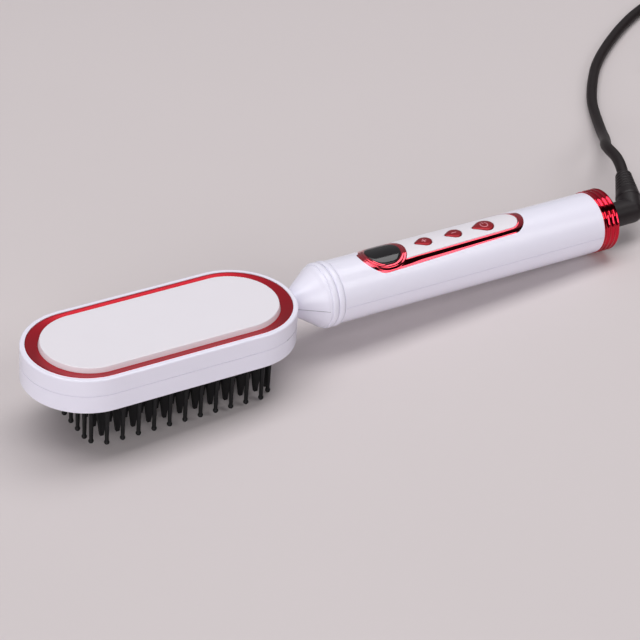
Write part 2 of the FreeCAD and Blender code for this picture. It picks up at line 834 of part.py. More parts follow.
def make_housing_screws():
    screws = []
    seat = S.counterbore_depth - S.head_lower
    for i, (sx, sy) in enumerate([(x, y) for x in (-1, 1) for y in (-1, 1)]):
        x = head_mid + sx * post_x
        y = sy * S.post_y
        head = rod("closing_head_%d" % i, S.screw_head, (x, y, seat - S.screw_head_thick), S.screw_head_thick)
        shank = rod("closing_shank_%d" % i, S.screw_shank, (x, y, seat), ceiling - S.fit_gap - seat)
        screws.append(fuse("closing_screw_%d" % i, [head, shank]))
    keep(group("closing_screws", screws), "housing_screws")


# Control panel on the handle

def crown_cut(body, name, top):
    """Cut everything above a gentle crown along the handle."""
    sketch = new_sketch(body, name, "YZ_Plane")
    half = S.handle_radius
    centre = top - S.crown_radius
    roof = S.handle_radius + 2 * ABOVE
    edge = math.acos(half / S.crown_radius)
    crown = Part.Circle(Vector(0, centre, 0), Vector(0, 0, 1), S.crown_radius)
    arc = Part.ArcOfCircle(crown, edge, math.pi - edge)
    right, left = arc.StartPoint, arc.EndPoint
    sketch.addGeometry(arc)
    corners = [left, Vector(left.x, roof, 0), Vector(right.x, roof, 0), right]
    for a, b in zip(corners, corners[1:]):
        sketch.addGeometry(Part.LineSegment(a, b))
    for first, second in ((0, 1), (1, 2), (2, 3)):
        sketch.addConstraint(Sketcher.Constraint("Coincident", first, 2, second, 1))
    sketch.addConstraint(Sketcher.Constraint("Coincident", 3, 2, 0, 1))
    for line, kind in ((1, "Vertical"), (2, "Horizontal"), (3, "Vertical")):
        sketch.addConstraint(Sketcher.Constraint(kind, line))
    set_radius(sketch, 0, S.crown_radius)
    fix(sketch, 0, 3, "DistanceX", 0.0)
    fix(sketch, 0, 3, "DistanceY", centre)
    fix(sketch, 0, 1, "DistanceX", half)
    fix(sketch, 0, 2, "DistanceX", -half)
    fix(sketch, 2, 1, "DistanceY", roof)
    doc.recompute()
    pocket(body, sketch)


def barrel_cut(body, name, radius):
    """Cut everything outside a barrel about the handle's axis."""
    sketch = new_sketch(body, name, "YZ_Plane")
    circle(sketch, 0.0, 0.0, radius)
    circle(sketch, 0.0, 0.0, radius + 3 * ABOVE)
    doc.recompute()
    pocket(body, sketch)


def control_sketch(body, name, head_x, head_radius, tail_x, tail_radius, lift):
    sketch = new_sketch(body, name, lift=lift)
    capsule(sketch, head_x, head_radius, tail_x, tail_radius)
    return sketch


def strip_sketch(body, name, grow, lift):
    head, tail = S.strip_head_radius + grow, S.strip_tail_radius + grow
    return control_sketch(body, name, S.strip_head_x, head, S.strip_tail_x, tail, lift)


def window_sketch(body, name, radius, lift):
    return control_sketch(body, name, S.display_x, radius, S.display_x + S.display_span, radius, lift)


def make_control_trim():
    """Flange lying on the handle, with a raised bezel, fused with a skirt down the slot."""
    low = slot_floor
    high = bezel_top + 1.0
    glass = S.display_radius + S.fit_gap
    flange = doc.addObject("PartDesign::Body", "trim_flange")
    head, tail = S.trim_head_radius, S.trim_tail_radius
    blank = control_sketch(flange, "flange_blank", S.trim_head_x, head, S.trim_tail_x, tail, low)
    pad(flange, blank, high - low)
    doc.recompute()
    pocket(flange, strip_sketch(flange, "flange_opening", S.fit_gap, high), high - low + 1.0)
    pad(flange, window_sketch(flange, "flange_band", S.display_band_radius, low), high - low)
    barrel_cut(flange, "flange_barrel", trim_top)
    pad(flange, window_sketch(flange, "bezel", S.display_radius + S.bezel_width, low), high - low)
    barrel_cut(flange, "bezel_barrel", bezel_top)
    seat = new_sketch(flange, "flange_seat", "YZ_Plane")
    circle(seat, 0.0, 0.0, S.handle_radius)
    pocket(flange, seat)
    pocket(flange, window_sketch(flange, "flange_window", glass, high), high - low + 1.0)
    skirt = doc.addObject("PartDesign::Body", "trim_skirt")
    head, tail = S.display_radius + trim_wall, S.strip_tail_radius + trim_wall
    blank = control_sketch(skirt, "skirt_blank", S.display_x, head, S.strip_tail_x, tail, strip_bottom)
    pad(skirt, blank, high - strip_bottom)
    doc.recompute()
    pocket(skirt, strip_sketch(skirt, "skirt_opening", S.fit_gap, high), high - low)
    pad(skirt, window_sketch(skirt, "skirt_band", head, strip_bottom), high - strip_bottom)
    barrel_cut(skirt, "skirt_barrel", S.handle_radius + S.trim_rise / 2)
    pocket(skirt, window_sketch(skirt, "skirt_window", glass, high), high - low)
    keep(fuse("trim", [flange, skirt]), "control_trim")


def make_control_strip():
    body = new_body("control_strip")
    pad(body, strip_sketch(body, "strip_blank", 0.0, strip_bottom), S.handle_radius + ABOVE - strip_bottom)
    doc.recompute()
    crown_cut(body, "strip_crown", strip_top)
    roof = S.handle_radius + ABOVE
    pocket(body, window_sketch(body, "strip_end", S.display_band_radius + S.fit_gap, roof), roof)
    for name, x, length, half in button_table():
        hole = button_sketch(body, name + "_hole", x, length, half, S.slide_gap, roof)
        pocket(body, hole, roof)


def make_display_window():
    body = new_body("display_window")
    roof = S.handle_radius + ABOVE
    blank = window_sketch(body, "glass_blank", S.display_radius, display_bottom)
    pad(body, blank, roof - display_bottom)
    doc.recompute()
    barrel_cut(body, "glass_barrel", display_top)


def button_table():
    return [
        ("plus_button", S.button_one_x, S.button_length, S.button_half),
        ("minus_button", S.button_one_x + S.button_pitch, S.button_length, S.button_half),
        ("power_button", S.button_one_x + 2 * S.button_pitch, S.power_length, S.power_half),
    ]


def button_sketch(body, name, x, length, half, grow, lift):
    """Drop shape: pointed towards the head, round towards the cord."""
    point_x = x - length / 2 + S.button_point
    round_x = x + length / 2 - half
    return control_sketch(body, name, point_x, S.button_point + grow, round_x, half + grow, lift)


flange_top = strip_bottom - S.slide_gap
flange_bottom = flange_top - S.flange_thick
switch_top = board_top + S.switch_height
plunger_bottom = switch_top - S.plunger_depth


def make_button(name, x, length, half):
    body = new_body(name)
    roof = S.handle_radius + ABOVE
    cap = button_sketch(body, name + "_cap", x, length, half, 0.0, flange_bottom)
    pad(body, cap, roof - flange_bottom)
    doc.recompute()
    crown_cut(body, name + "_crown", strip_top + S.button_proud)
    foot = button_sketch(body, name + "_foot", x, length, half, S.button_flange, flange_bottom)
    pad(body, foot, S.flange_thick)


def make_controls():
    make_control_trim()
    make_control_strip()
    make_display_window()
    switches = []
    for name, x, length, half in button_table():
        make_button(name, x, length, half)
        stem_length = flange_bottom - plunger_bottom
        plunger = rod(name + "_stem", S.plunger_radius, (x, 0.0, plunger_bottom), stem_length)
        keep_one(plunger, name.replace("button", "plunger"))
        side = S.switch_size / 2
        case = block(name + "_case", (x - side, x + side), (-side, side), (board_top, switch_top))
        well_bottom = plunger_bottom - S.button_travel - S.fit_gap
        well_radius = S.plunger_radius + S.slide_gap
        well = rod(name + "_well", well_radius, (x, 0.0, well_bottom), switch_top - well_bottom)
        switches.append(cut(name + "_switch", case, well))
    keep(group("switches", switches), "tact_switches")
    y = S.board_width / 2
    sheet_block = block("board_blank", (S.board_start, S.board_end), (-y, y), (board_bottom, board_top))
    holes = []
    screws = []
    for name, x in (("head", S.boss_head_x), ("tail", S.boss_tail_x)):
        hole_radius = S.board_screw + S.slide_gap
        holes.append(rod(name + "_board_hole", hole_radius, (x, 0.0, board_bottom), S.board_thick))
        head_bottom = board_bottom - S.screw_head_thick
        head = rod(name + "_board_head", S.board_screw_head, (x, 0.0, head_bottom), S.screw_head_thick)
        reach = handle_bore - S.handle_wall - S.fit_gap - board_bottom
        shank = rod(name + "_board_shank", S.board_screw, (x, 0.0, board_bottom), reach)
        screws.append(fuse(name + "_board_screw", [head, shank]))
    keep(cut("board", sheet_block, group("board_holes", holes)), "control_board")
    keep(group("screws_of_board", screws), "board_screws")
    middle = S.display_x + S.display_span / 2
    x = (middle - S.module_length / 2, middle + S.module_length / 2)
    y = S.module_width / 2
    keep_one(block("module", x, (-y, y), (board_top, display_bottom - S.run_gap)), "display_module")


# End ring and swivel

def make_end_ring():
    body = new_body("end_ring")
    profile = new_sketch(body, "ring_profile", "XZ_Plane")
    corners = ((S.handle_end, ring_bore), (S.handle_end, end_ring_radius))
    corners += ((brush_end, end_ring_radius), (brush_end, ring_bore))
    outline(profile, list(corners))
    turn(body, profile)
    dress(body, "Fillet", {"Radius": S.end_ring_round}, outer_edge)
    flute = new_sketch(body, "flute", "XZ_Plane")
    first = (S.handle_end + brush_end) / 2 - S.flute_pitch
    circle(flute, first, end_ring_radius + S.flute_radius - S.flute_depth, S.flute_radius)
    groove = turn(body, flute, "Groove")
    doc.recompute()
    flutes = body.newObject("PartDesign::LinearPattern", "flutes")
    flutes.Originals = [groove]
    along = next(part for part in body.Origin.OriginFeatures if part.Role == "X_Axis")
    flutes.Direction = (along, [""])
    flutes.Occurrences = 3
    bind(flutes, {"Length": 2 * S.flute_pitch})
    body.Tip = flutes


def outer_edge(edge):
    return edge.BoundBox.ZMax > end_ring_radius - 1e-3 and edge.BoundBox.XLength < 1e-3


def make_swivel():
    plate = rod("plate_disc", spigot_radius, (plate_inner, 0.0, 0.0), S.end_plate_thick, "X")
    hole = rod("plate_hole", S.swivel_neck + S.slide_gap, (plate_inner, 0.0, 0.0), S.end_plate_thick, "X")
    keep(cut("plate_with_hole", plate, hole), "end_plate")
    washer_end = plate_inner - S.run_gap
    washer_start = washer_end - S.retainer_thick
    washer = rod("washer", S.retainer_radius, (washer_start, 0.0, 0.0), S.retainer_thick, "X")
    washer_hole = rod("washer_hole", S.swivel_neck, (washer_start, 0.0, 0.0), S.retainer_thick, "X")
    keep(cut("washer_ring", washer, washer_hole), "swivel_retainer")
    tail = washer_start - S.swivel_tail
    neck = rod("elbow_neck", S.swivel_neck, (tail, 0.0, 0.0), brush_end - tail, "X")
    stub = rod("elbow_stub", S.elbow_radius, (brush_end, 0.0, 0.0), S.elbow_reach, "X")
    corner = doc.addObject("Part::Sphere", "elbow_corner")
    bind(corner, {"Radius": S.elbow_radius, "Placement.Base.x": brush_end + S.elbow_reach})
    outlet = doc.addObject("Part::Cylinder", "elbow_outlet")
    bind(outlet, {"Radius": S.elbow_radius, "Height": S.outlet_length})
    outlet.Placement = outlet_place(0.0)
    keep(fuse("elbow", [neck, stub, corner, outlet]), "swivel_elbow")
    return tail


def outlet_direction():
    tilt, rise = math.radians(S.outlet_tilt), math.radians(S.outlet_rise)
    return Vector(math.sin(tilt) * math.cos(rise), math.cos(tilt) * math.cos(rise), math.sin(rise))


def outlet_place(distance):
    corner = Vector(brush_end + S.elbow_reach, 0, 0)
    direction = outlet_direction()
    return Placement(corner + direction * float(distance), Rotation(Vector(0, 0, 1), direction))


def make_strain_relief():
    """Collar, then a tapered sleeve with grooves between its ribs and a soft tip, about its own X axis."""
    body = new_body("strain_relief")
    profile = new_sketch(body, "relief_profile", "XZ_Plane")
    neck = 2 * S.relief_collar_length
    points = [(0.0, 0.0), (0.0, S.relief_collar), (S.relief_collar_length, S.relief_collar)]
    points += [(neck, S.relief_root)]
    pitch = (S.relief_length - neck) / (S.relief_ribs + 1)
    slope = (S.relief_root - S.relief_tip) / (S.relief_length - neck)
    for i in range(int(S.relief_ribs)):
        start = (i + 1) * pitch - S.rib_groove / 2
        stop = start + S.rib_groove
        outer_start, outer_stop = S.relief_root - start * slope, S.relief_root - stop * slope
        points += [(neck + start, outer_start), (neck + start, outer_start - S.rib_groove)]
        points += [(neck + stop, outer_stop - S.rib_groove), (neck + stop, outer_stop)]
    lip = S.relief_lip
    points += [(S.relief_length - lip, S.relief_tip), (S.relief_length, S.relief_tip - lip)]
    points += [(S.relief_length, 0.0)]
    outline(profile, points)
    turn(body, profile)
    return body


# Wires inside

def rounded_path(points):
    """Straight runs joined by tangent arcs as large as the shorter run allows."""
    share = 0.45
    edges = []
    radii = []
    start = points[0]
    for before, corner, after in zip(points, points[1:], points[2:]):
        back, ahead = before - corner, after - corner
        reach = share * min(back.Length, ahead.Length)
        half = back.getAngle(ahead) / 2
        radius = reach * math.tan(half)
        back.normalize()
        ahead.normalize()
        inward = (back + ahead).normalize()
        enter, leave = corner + back * reach, corner + ahead * reach
        middle = corner + inward * (radius / math.sin(half) - radius)
        edges += [Part.LineSegment(start, enter).toShape(), Part.Arc(enter, middle, leave).toShape()]
        radii.append(radius)
        start = leave
    edges.append(Part.LineSegment(start, points[-1]).toShape())
    return Part.Wire(edges), radii


def sweep(path, radius):
    """Round tube along a path, compared with its section times its length."""
    first = path.OrderedEdges[0]
    start = first.valueAt(first.FirstParameter)
    heading = first.tangentAt(first.FirstParameter)
    ring = Part.Wire(Part.makeCircle(radius, start, heading))
    tube = path.makePipeShell([ring], True, False)
    expected = math.pi * radius ** 2 * path.Length
    if not tube.isValid() or abs(tube.Volume / expected - 1) > 0.01:
        raise ValueError("tube volume %.1f, expected %.1f" % (tube.Volume, expected))
    return tube


def make_leads(swivel_tail):
    along = sheet_top + S.fit_gap + S.lead_radius
    under_board = board_bottom - S.lead_radius
    neck_stop = S.bore_start - 1.0
    handle_start = S.bore_start + S.bore_taper + 1.0
    solder = S.boss_head_x - S.board_screw_head - 1.0
    heater = []
    for side in (-1, 1):
        y = side * S.heater_lead_y
        corners = [(head_mid + clamp_half - 8.0, along), (neck_stop, along)]
        corners += [(handle_start, under_board), (solder, under_board)]
        path, radii = rounded_path([Vector(x, y, z) for x, z in corners])
        heater.append(sweep(path, S.lead_radius))
    solid_group("heater_leads", heater)
    mains = []
    start = S.boss_tail_x
    for side in (-1, 1):
        base = (start, side * S.mains_lead_y, under_board)
        length = swivel_tail - S.run_gap - start
        mains.append(rod("mains_lead_%d" % (side + 1), S.lead_radius, base, length, "X"))
    keep(group("mains_wires", mains), "mains_leads")


# Resting placement

def resting_placement():
    """Lean and lift that bring the rear bristle tips and the end ring down to the table."""
    tip_x = head_mid + pin_column
    reach = brush_end - tip_x
    drop = S.pin_depth - end_ring_radius
    lean = math.atan2(drop, reach) + math.asin(S.pin_ball / math.hypot(reach, drop))
    lift = brush_end * math.sin(lean) + end_ring_radius * math.cos(lean)
    turned = Rotation(Vector(0, 1, 0), math.degrees(lean))
    soft = float(S.edge_round)
    left = turned.multVec(Vector(soft - S.head_length, 0, soft - S.head_lower)).x - soft
    mouth = turned.multVec(outlet_place(S.outlet_length).Base).x
    right = mouth + S.elbow_radius * math.sqrt(1 - turned.multVec(outlet_direction()).x ** 2)
    return Placement(Vector(-(left + right) / 2, 0, lift), turned)


# Cord set on the table

cord_radius = S.cord_diameter / 2
coil_step = S.cord_diameter + S.coil_gap
coil_inner = S.coil_radius - S.coil_turns * coil_step
coil_low = S.tie_thick + S.run_gap + cord_radius
coil_high = coil_low + coil_step


def cord_exit(rest):
    place = rest.multiply(outlet_place(S.outlet_length + S.relief_length))
    return place.Base, place.Rotation.multVec(Vector(0, 0, 1))


def coil_centre(rest):
    exit_point = cord_exit(rest)[0]
    return Vector(exit_point.x + S.coil_ahead, exit_point.y + S.coil_aside, 0)


def cord_route(rest):
    """Out of the strain relief, over and down to the table, and away to the coil."""
    exit_point, heading = cord_exit(rest)
    coil_top = coil_centre(rest) + Vector(0, S.coil_radius, 0)
    table = cord_radius + 0.05
    straight = 10.5
    points = [exit_point, exit_point + heading * straight]
    for ahead, aside, height in (
        (9.0, 27.2, 18.6),
        (18.4, 38.6, 12.6),
        (27.4, 53.6, 6.6),
        (36.3, 69.7, 3.4),
        (44.8, 86.2, table),
        (56.3, 101.7, table),
        (70.0, 117.4, table),
        (87.6, 131.6, table),
        (107.1, 144.6, table),
        (128.1, 155.6, table),
    ):
        points.append(Vector(exit_point.x + ahead, exit_point.y + aside, height))
    for before in (4 * S.cord_diameter, S.cord_diameter):
        points.append(Vector(coil_top.x - before, coil_top.y, coil_low))
    return points


def coil_point(centre, turned):
    """Point of the coil after a number of turns: in, up one layer with a dip inwards, and out."""
    turns = S.coil_turns
    height = coil_low
    if turned <= turns:
        radius = S.coil_radius - turned * coil_step
    elif turned <= turns + 0.5:
        share = 2 * (turned - turns)
        radius = coil_inner - S.coil_gap * (1 - math.cos(2 * math.pi * share))
        height = coil_low + coil_step * (share - math.sin(2 * math.pi * share) / (2 * math.pi))
    else:
        radius = coil_inner + (turned - turns - 0.5) * coil_step
        height = coil_high
    angle = math.pi / 2 - 2 * math.pi * turned
    return centre + Vector(radius * math.cos(angle), radius * math.sin(angle), height)


def coil_heading(centre, turned):
    nudge = 1e-4
    return (coil_point(centre, turned + nudge) - coil_point(centre, turned - nudge)).normalize()


def arc_from(start, heading, stop):
    chord = stop - start
    half = heading.getAngle(chord) / 2
    middle = start + (heading + Vector(chord).normalize()).normalize() * (chord.Length / (2 * math.cos(half)))
    return Part.Arc(start, middle, stop).toShape()


def biarc(start, first, stop, last):
    """Two tangent arcs between two points with given headings."""
    across = stop - start
    both = first + last
    bend = 2 * (1 - first.dot(last))
    along = across.dot(both)
    reach = (math.sqrt(along ** 2 + bend * across.dot(across)) - along) / bend
    joint = (start + first * reach + stop - last * reach) / 2
    joint_heading = (stop - last * reach - start - first * reach).normalize()
    return [arc_from(start, first, joint), arc_from(joint, joint_heading, stop)]


def make_coil(centre):
    """One unbroken tube: quarter turns as biarcs, with a straight end of one diameter."""
    quarters = int(round(4 * (2 * S.coil_turns + 0.5)))
    stops = [i / 4 for i in range(quarters + 1)]
    points = [coil_point(centre, turned) for turned in stops]
    headings = [coil_heading(centre, turned) for turned in stops]
    headings[0] = Vector(1, 0, 0)
    headings[-1] = Vector(-1, 0, 0)
    lead_in = points[0] - headings[0] * float(S.cord_diameter)
    lead_out = points[-1] + headings[-1] * float(S.cord_diameter)
    edges = [Part.LineSegment(lead_in, points[0]).toShape()]
    for i in range(quarters):
        edges += biarc(points[i], headings[i], points[i + 1], headings[i + 1])
    edges.append(Part.LineSegment(points[-1], lead_out).toShape())
    path = Part.Wire(edges)
    samples = path.discretize(Number=600)
    spacing = path.Length / 599
    apart = int(4 * S.cord_diameter / spacing)
    gaps = [(a - b).Length for i, a in enumerate(samples) for b in samples[i + apart:]]
    print("coil length %.0f mm, least gap to itself %.2f mm" % (path.Length, min(gaps) - S.cord_diameter))
    return sweep(path, cord_radius), lead_out, path.Length


def make_tie(centre):
    """Strap round the coil's turns on the side away from the plug."""
    half = S.tie_width / 2
    inner_edge = coil_inner - cord_radius
    inner = inner_edge - half * half / (2 * inner_edge) - S.run_gap
    outer = S.coil_radius + cord_radius + S.run_gap
    low, high = coil_low - cord_radius - S.run_gap, coil_high + cord_radius + S.run_gap
    x = (centre.x - half, centre.x + half)
    band = S.tie_thick
    y = (centre.y + inner - band, centre.y + outer + band)
    strap = block("strap", x, y, (low - band, high + band))
    hole = block("strap_hole", x, (y[0] + band, y[1] - band), (low, high))
    return keep(cut("tie", strap, hole), "cord_tie")


def make_plug(entry):
    """Two-pin plug lying on its flat side, with its cord entry at the coil's upper layer."""
    body = new_body("mains_plug")
    height = 2 * coil_high
    nose = new_sketch(body, "plug_outline")
    front = S.plug_neck_length + S.plug_length
    shoulder = S.plug_neck_length + S.plug_length - S.plug_nose
    half = S.plug_width / 2
    outline(nose, [
        (S.plug_neck_length, -S.plug_neck),
        (shoulder, -half),
        (front, -half),
        (front, half),
        (shoulder, half),
        (S.plug_neck_length, S.plug_neck),
    ])
    block_pad = pad(body, nose, height)
    block_pad.SideType = "Symmetric"
    dress(body, "Fillet", {"Radius": S.plug_neck / 2}, lambda edge: edge.BoundBox.ZLength < 1e-4)
    neck = new_sketch(body, "plug_neck_profile", "XZ_Plane")
    tip = S.plug_entry
    overlap = S.plug_neck_length + 4.0
    outline(neck, [(0.0, 0.0), (0.0, tip), (overlap, S.plug_neck), (overlap, 0.0)])
    turn(body, neck)
    body.Placement = Placement(entry, Rotation(Vector(0, 0, 1), 180))
    pins = []
    for side in (-1, 1):
        pin = doc.addObject("Part::Cylinder", "plug_pin_%d" % (side + 1))
        bind(pin, {"Radius": S.plug_pin_radius, "Height": S.plug_pin_length})
        foot = entry + Vector(-front, side * S.plug_pin_spacing / 2, 0)
        pin.Placement = Placement(foot, Rotation(Vector(0, 1, 0), -90))
        pins.append(pin)
    keep(group("pins_of_plug", pins), "plug_pins")


def make_cord_set(rest):
    path, radii = rounded_path(cord_route(rest))
    print("cord bend radii in mm: " + ", ".join("%.0f" % radius for radius in radii))
    free = keep(doc.addObject("Part::Feature", "power_cord"), "power_cord")
    free.Shape = sweep(path, cord_radius)
    centre = coil_centre(rest)
    shape, lead_out, length = make_coil(centre)
    coil = keep(doc.addObject("Part::Feature", "cord_coil"), "cord_coil")
    coil.Shape = shape
    print("cord length %.0f mm" % (path.Length + length))
    make_tie(centre)
    make_plug(lead_out)


# Assembly

def check_document():
    for thing in doc.Objects:
        if "Invalid" in thing.State or "Error" in thing.State:
            raise ValueError("%s failed: %s" % (thing.Label, thing.State))
    for piece in subparts:
        if piece.Shape.isNull() or not piece.Shape.isValid():
            raise ValueError(piece.Label + " has no valid shape")


def export_parts():
    os.makedirs("parts", exist_ok=True)
    for piece in subparts:
        piece.Shape.exportStep("parts/%s.step" % piece.Label)


def main():
    make_upper_housing()
    make_lower_housing()
    make_head_trim_ring()
    make_head_panel()
    make_pin_frame()
    make_heat_plate()
    make_nylon_pins()
    make_heated_combs()
    make_heater_stack()
    make_housing_screws()
    make_controls()
    make_end_ring()
    swivel_tail = make_swivel()
    relief = make_strain_relief()
    make_leads(swivel_tail)
    rest = resting_placement()
    for piece in subparts:
        piece.Placement = rest.multiply(piece.Placement)
    along_outlet = Rotation(Vector(0, 1, 0), -90)
    outlet = rest.multiply(outlet_place(S.outlet_length))
    relief.Placement = outlet.multiply(Placement(Vector(), along_outlet))
    print("rest: lean %.4f degrees, base %s" % (math.degrees(rest.Rotation.Angle), tuple(rest.Base)))
    make_cord_set(rest)
    doc.recompute()
    check_document()
    export_parts()


main()
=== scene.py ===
import bpy
import bmesh
import json
import math
from mathutils import Matrix, Vector


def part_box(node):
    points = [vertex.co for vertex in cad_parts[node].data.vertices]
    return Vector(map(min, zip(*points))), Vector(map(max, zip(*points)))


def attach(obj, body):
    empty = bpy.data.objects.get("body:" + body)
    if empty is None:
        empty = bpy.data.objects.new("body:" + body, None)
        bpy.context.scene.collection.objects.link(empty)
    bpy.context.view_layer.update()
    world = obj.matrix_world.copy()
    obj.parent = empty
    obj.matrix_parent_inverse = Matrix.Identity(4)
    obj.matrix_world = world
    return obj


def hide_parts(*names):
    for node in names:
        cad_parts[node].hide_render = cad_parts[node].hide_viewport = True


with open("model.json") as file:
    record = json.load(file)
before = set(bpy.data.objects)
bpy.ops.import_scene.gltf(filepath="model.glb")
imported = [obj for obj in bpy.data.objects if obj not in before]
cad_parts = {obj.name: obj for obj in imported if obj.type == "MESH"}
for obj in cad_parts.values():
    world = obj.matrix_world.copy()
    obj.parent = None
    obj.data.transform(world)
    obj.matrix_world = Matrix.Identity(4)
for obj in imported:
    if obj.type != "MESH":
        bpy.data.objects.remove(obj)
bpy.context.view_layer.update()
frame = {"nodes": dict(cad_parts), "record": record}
nodes = frame["nodes"]
scene = bpy.context.scene
scene.view_settings.view_transform = "Standard"
print("frame loaded:", len(nodes), "nodes")

# how the brush rests: tipped down towards the cord end, on its bristles and its end ring
restPlace = {"lean": 4.0844, "base": (-0.0346242, 0.0, 0.0271201)}
brushMatrix = (Matrix.Translation(restPlace["base"])
               @ Matrix.Rotation(math.radians(restPlace["lean"]), 4, "Y"))
millimetre = 0.001
brushScaled = brushMatrix @ Matrix.Scale(millimetre, 4)


def fromBrush(x, y, z):
    # millimetres in the brush's own frame to metres on the table
    return brushMatrix @ (Vector((x, y, z)) * millimetre)


def srgb(red, green, blue):
    values = []
    for level in (red, green, blue):
        part = level / 255
        values.append(part / 12.92 if part <= 0.04045 else ((part + 0.055) / 1.055) ** 2.4)
    return (*values, 1.0)


# camera at the photograph's angle
viewSetup = {
    "azimuth": -30.89, "elevation": 35.3, "lens": 140.68, "sensor": 36.0,
    "distance": 1.11029, "right": 0.013895, "up": -0.00721, "near": 0.05, "far": 50,
}


def addCamera():
    azimuth = math.radians(viewSetup["azimuth"])
    elevation = math.radians(viewSetup["elevation"])
    back = Vector((math.sin(azimuth) * math.cos(elevation),
                   -math.cos(azimuth) * math.cos(elevation), math.sin(elevation)))
    right = Vector((math.cos(azimuth), math.sin(azimuth), 0))
    up = back.cross(right)
    data = bpy.data.cameras.new("photoCamera")
    data.lens = viewSetup["lens"]
    data.sensor_width = viewSetup["sensor"]
    data.clip_start = viewSetup["near"]
    data.clip_end = viewSetup["far"]
    camera = bpy.data.objects.new("photoCamera", data)
    scene.collection.objects.link(camera)
    turn = Matrix((right, up, back)).transposed().to_4x4()
    place = (Vector(restPlace["base"]) + back * viewSetup["distance"]
             + right * viewSetup["right"] + up * viewSetup["up"])
    camera.matrix_world = Matrix.Translation(place) @ turn
    scene.camera = camera


addCamera()
print("camera set")


# shader groups shared by the materials, and how their effects are tuned
effectSetup = {
    "waveShare": 0.06, "speckShare": 18.0, "scratchCut": 0.68, "scratchStretch": (0.04, 1.0, 1.0),
    "patchShare": 0.05, "threadBend": 0.6, "threadDetail": 2.0, "threadRise": 3.0, "bumpDistance": 0.0002,
}


def newGroup(name, inputs, outputs):
    group = bpy.data.node_groups.new(name, "ShaderNodeTree")
    for label, kind, value in inputs:
        group.interface.new_socket(name=label, in_out="INPUT", socket_type=kind).default_value = value
    for label, kind in outputs:
        group.interface.new_socket(name=label, in_out="OUTPUT", socket_type=kind)
    return group, group.nodes.new("NodeGroupInput"), group.nodes.new("NodeGroupOutput")


def addMath(tree, operation, first, second=0.0):
    node = tree.nodes.new("ShaderNodeMath")
    node.operation = operation
    for socket, value in zip(node.inputs, (first, second)):
        if isinstance(value, (int, float)):
            socket.default_value = value
        else:
            tree.links.new(value, socket)
    return node.outputs[0]


def addDot(tree, vector, direction):
    node = tree.nodes.new("ShaderNodeVectorMath")
    node.operation = "DOT_PRODUCT"
    node.inputs[1].default_value = direction
    tree.links.new(vector, node.inputs[0])
    return node.outputs["Value"]


def addLevel(tree, color, level):
    # a colour made lighter or darker by a factor
    shift = tree.nodes.new("ShaderNodeHueSaturation")
    tree.links.new(level, shift.inputs["Value"])
    tree.links.new(color, shift.inputs["Color"])
    return shift.outputs["Color"]


def addNoise(tree, scale, detail, stretch=None):
    where = tree.nodes.new("ShaderNodeTexCoord").outputs["Object"]
    if stretch:
        mapping = tree.nodes.new("ShaderNodeMapping")
        mapping.inputs["Scale"].default_value = stretch
        tree.links.new(where, mapping.inputs["Vector"])
        where = mapping.outputs["Vector"]
    noise = tree.nodes.new("ShaderNodeTexNoise")
    noise.inputs["Detail"].default_value = detail
    tree.links.new(where, noise.inputs["Vector"])
    tree.links.new(scale, noise.inputs["Scale"])
    return noise.outputs[0]


def makeTintDrift():
    # a colour that wanders a little lighter and darker
    group, entry, leave = newGroup(
        "tintDrift",
        [("Color", "NodeSocketColor", (0.8, 0.8, 0.8, 1)), ("Spread", "NodeSocketFloat", 0.05),
         ("Scale", "NodeSocketFloat", 60.0)],
        [("Color", "NodeSocketColor")])
    noise = addNoise(group, entry.outputs["Scale"], 3.0)
    centred = addMath(group, "SUBTRACT", noise, 0.5)
    spread = addMath(group, "MULTIPLY", centred, entry.outputs["Spread"])
    level = addMath(group, "ADD", addMath(group, "MULTIPLY", spread, 2.0), 1.0)
    group.links.new(addLevel(group, entry.outputs["Color"], level), leave.inputs["Color"])
    return group


def makeMicroGrain():
    # fine moulded grain as a height, with a slower waviness under it
    group, entry, leave = newGroup(
        "microGrain", [("Scale", "NodeSocketFloat", 1200.0), ("Wave", "NodeSocketFloat", 0.3)],
        [("Height", "NodeSocketFloat")])
    fine = addNoise(group, entry.outputs["Scale"], 3.0)
    slowScale = addMath(group, "MULTIPLY", entry.outputs["Scale"], effectSetup["waveShare"])
    slow = addNoise(group, slowScale, 1.0)
    wave = addMath(group, "MULTIPLY", slow, entry.outputs["Wave"])
    group.links.new(addMath(group, "ADD", fine, wave), leave.inputs["Height"])
    return group


def makeHandlingWear():
    # roughness that rises in cloudy patches where hands have been
    group, entry, leave = newGroup(
        "handlingWear",
        [("Base", "NodeSocketFloat", 0.3), ("Amount", "NodeSocketFloat", 0.1),
         ("Scale", "NodeSocketFloat", 45.0)],
        [("Roughness", "NodeSocketFloat")])
    cloud = addNoise(group, entry.outputs["Scale"], 5.0)
    speckScale = addMath(group, "MULTIPLY", entry.outputs["Scale"], effectSetup["speckShare"])
    speck = addNoise(group, speckScale, 2.0)
    mixed = addMath(group, "MULTIPLY", cloud, addMath(group, "ADD", speck, 0.5))
    worn = addMath(group, "MULTIPLY", mixed, entry.outputs["Amount"])
    group.links.new(addMath(group, "ADD", entry.outputs["Base"], worn), leave.inputs["Roughness"])
    return group


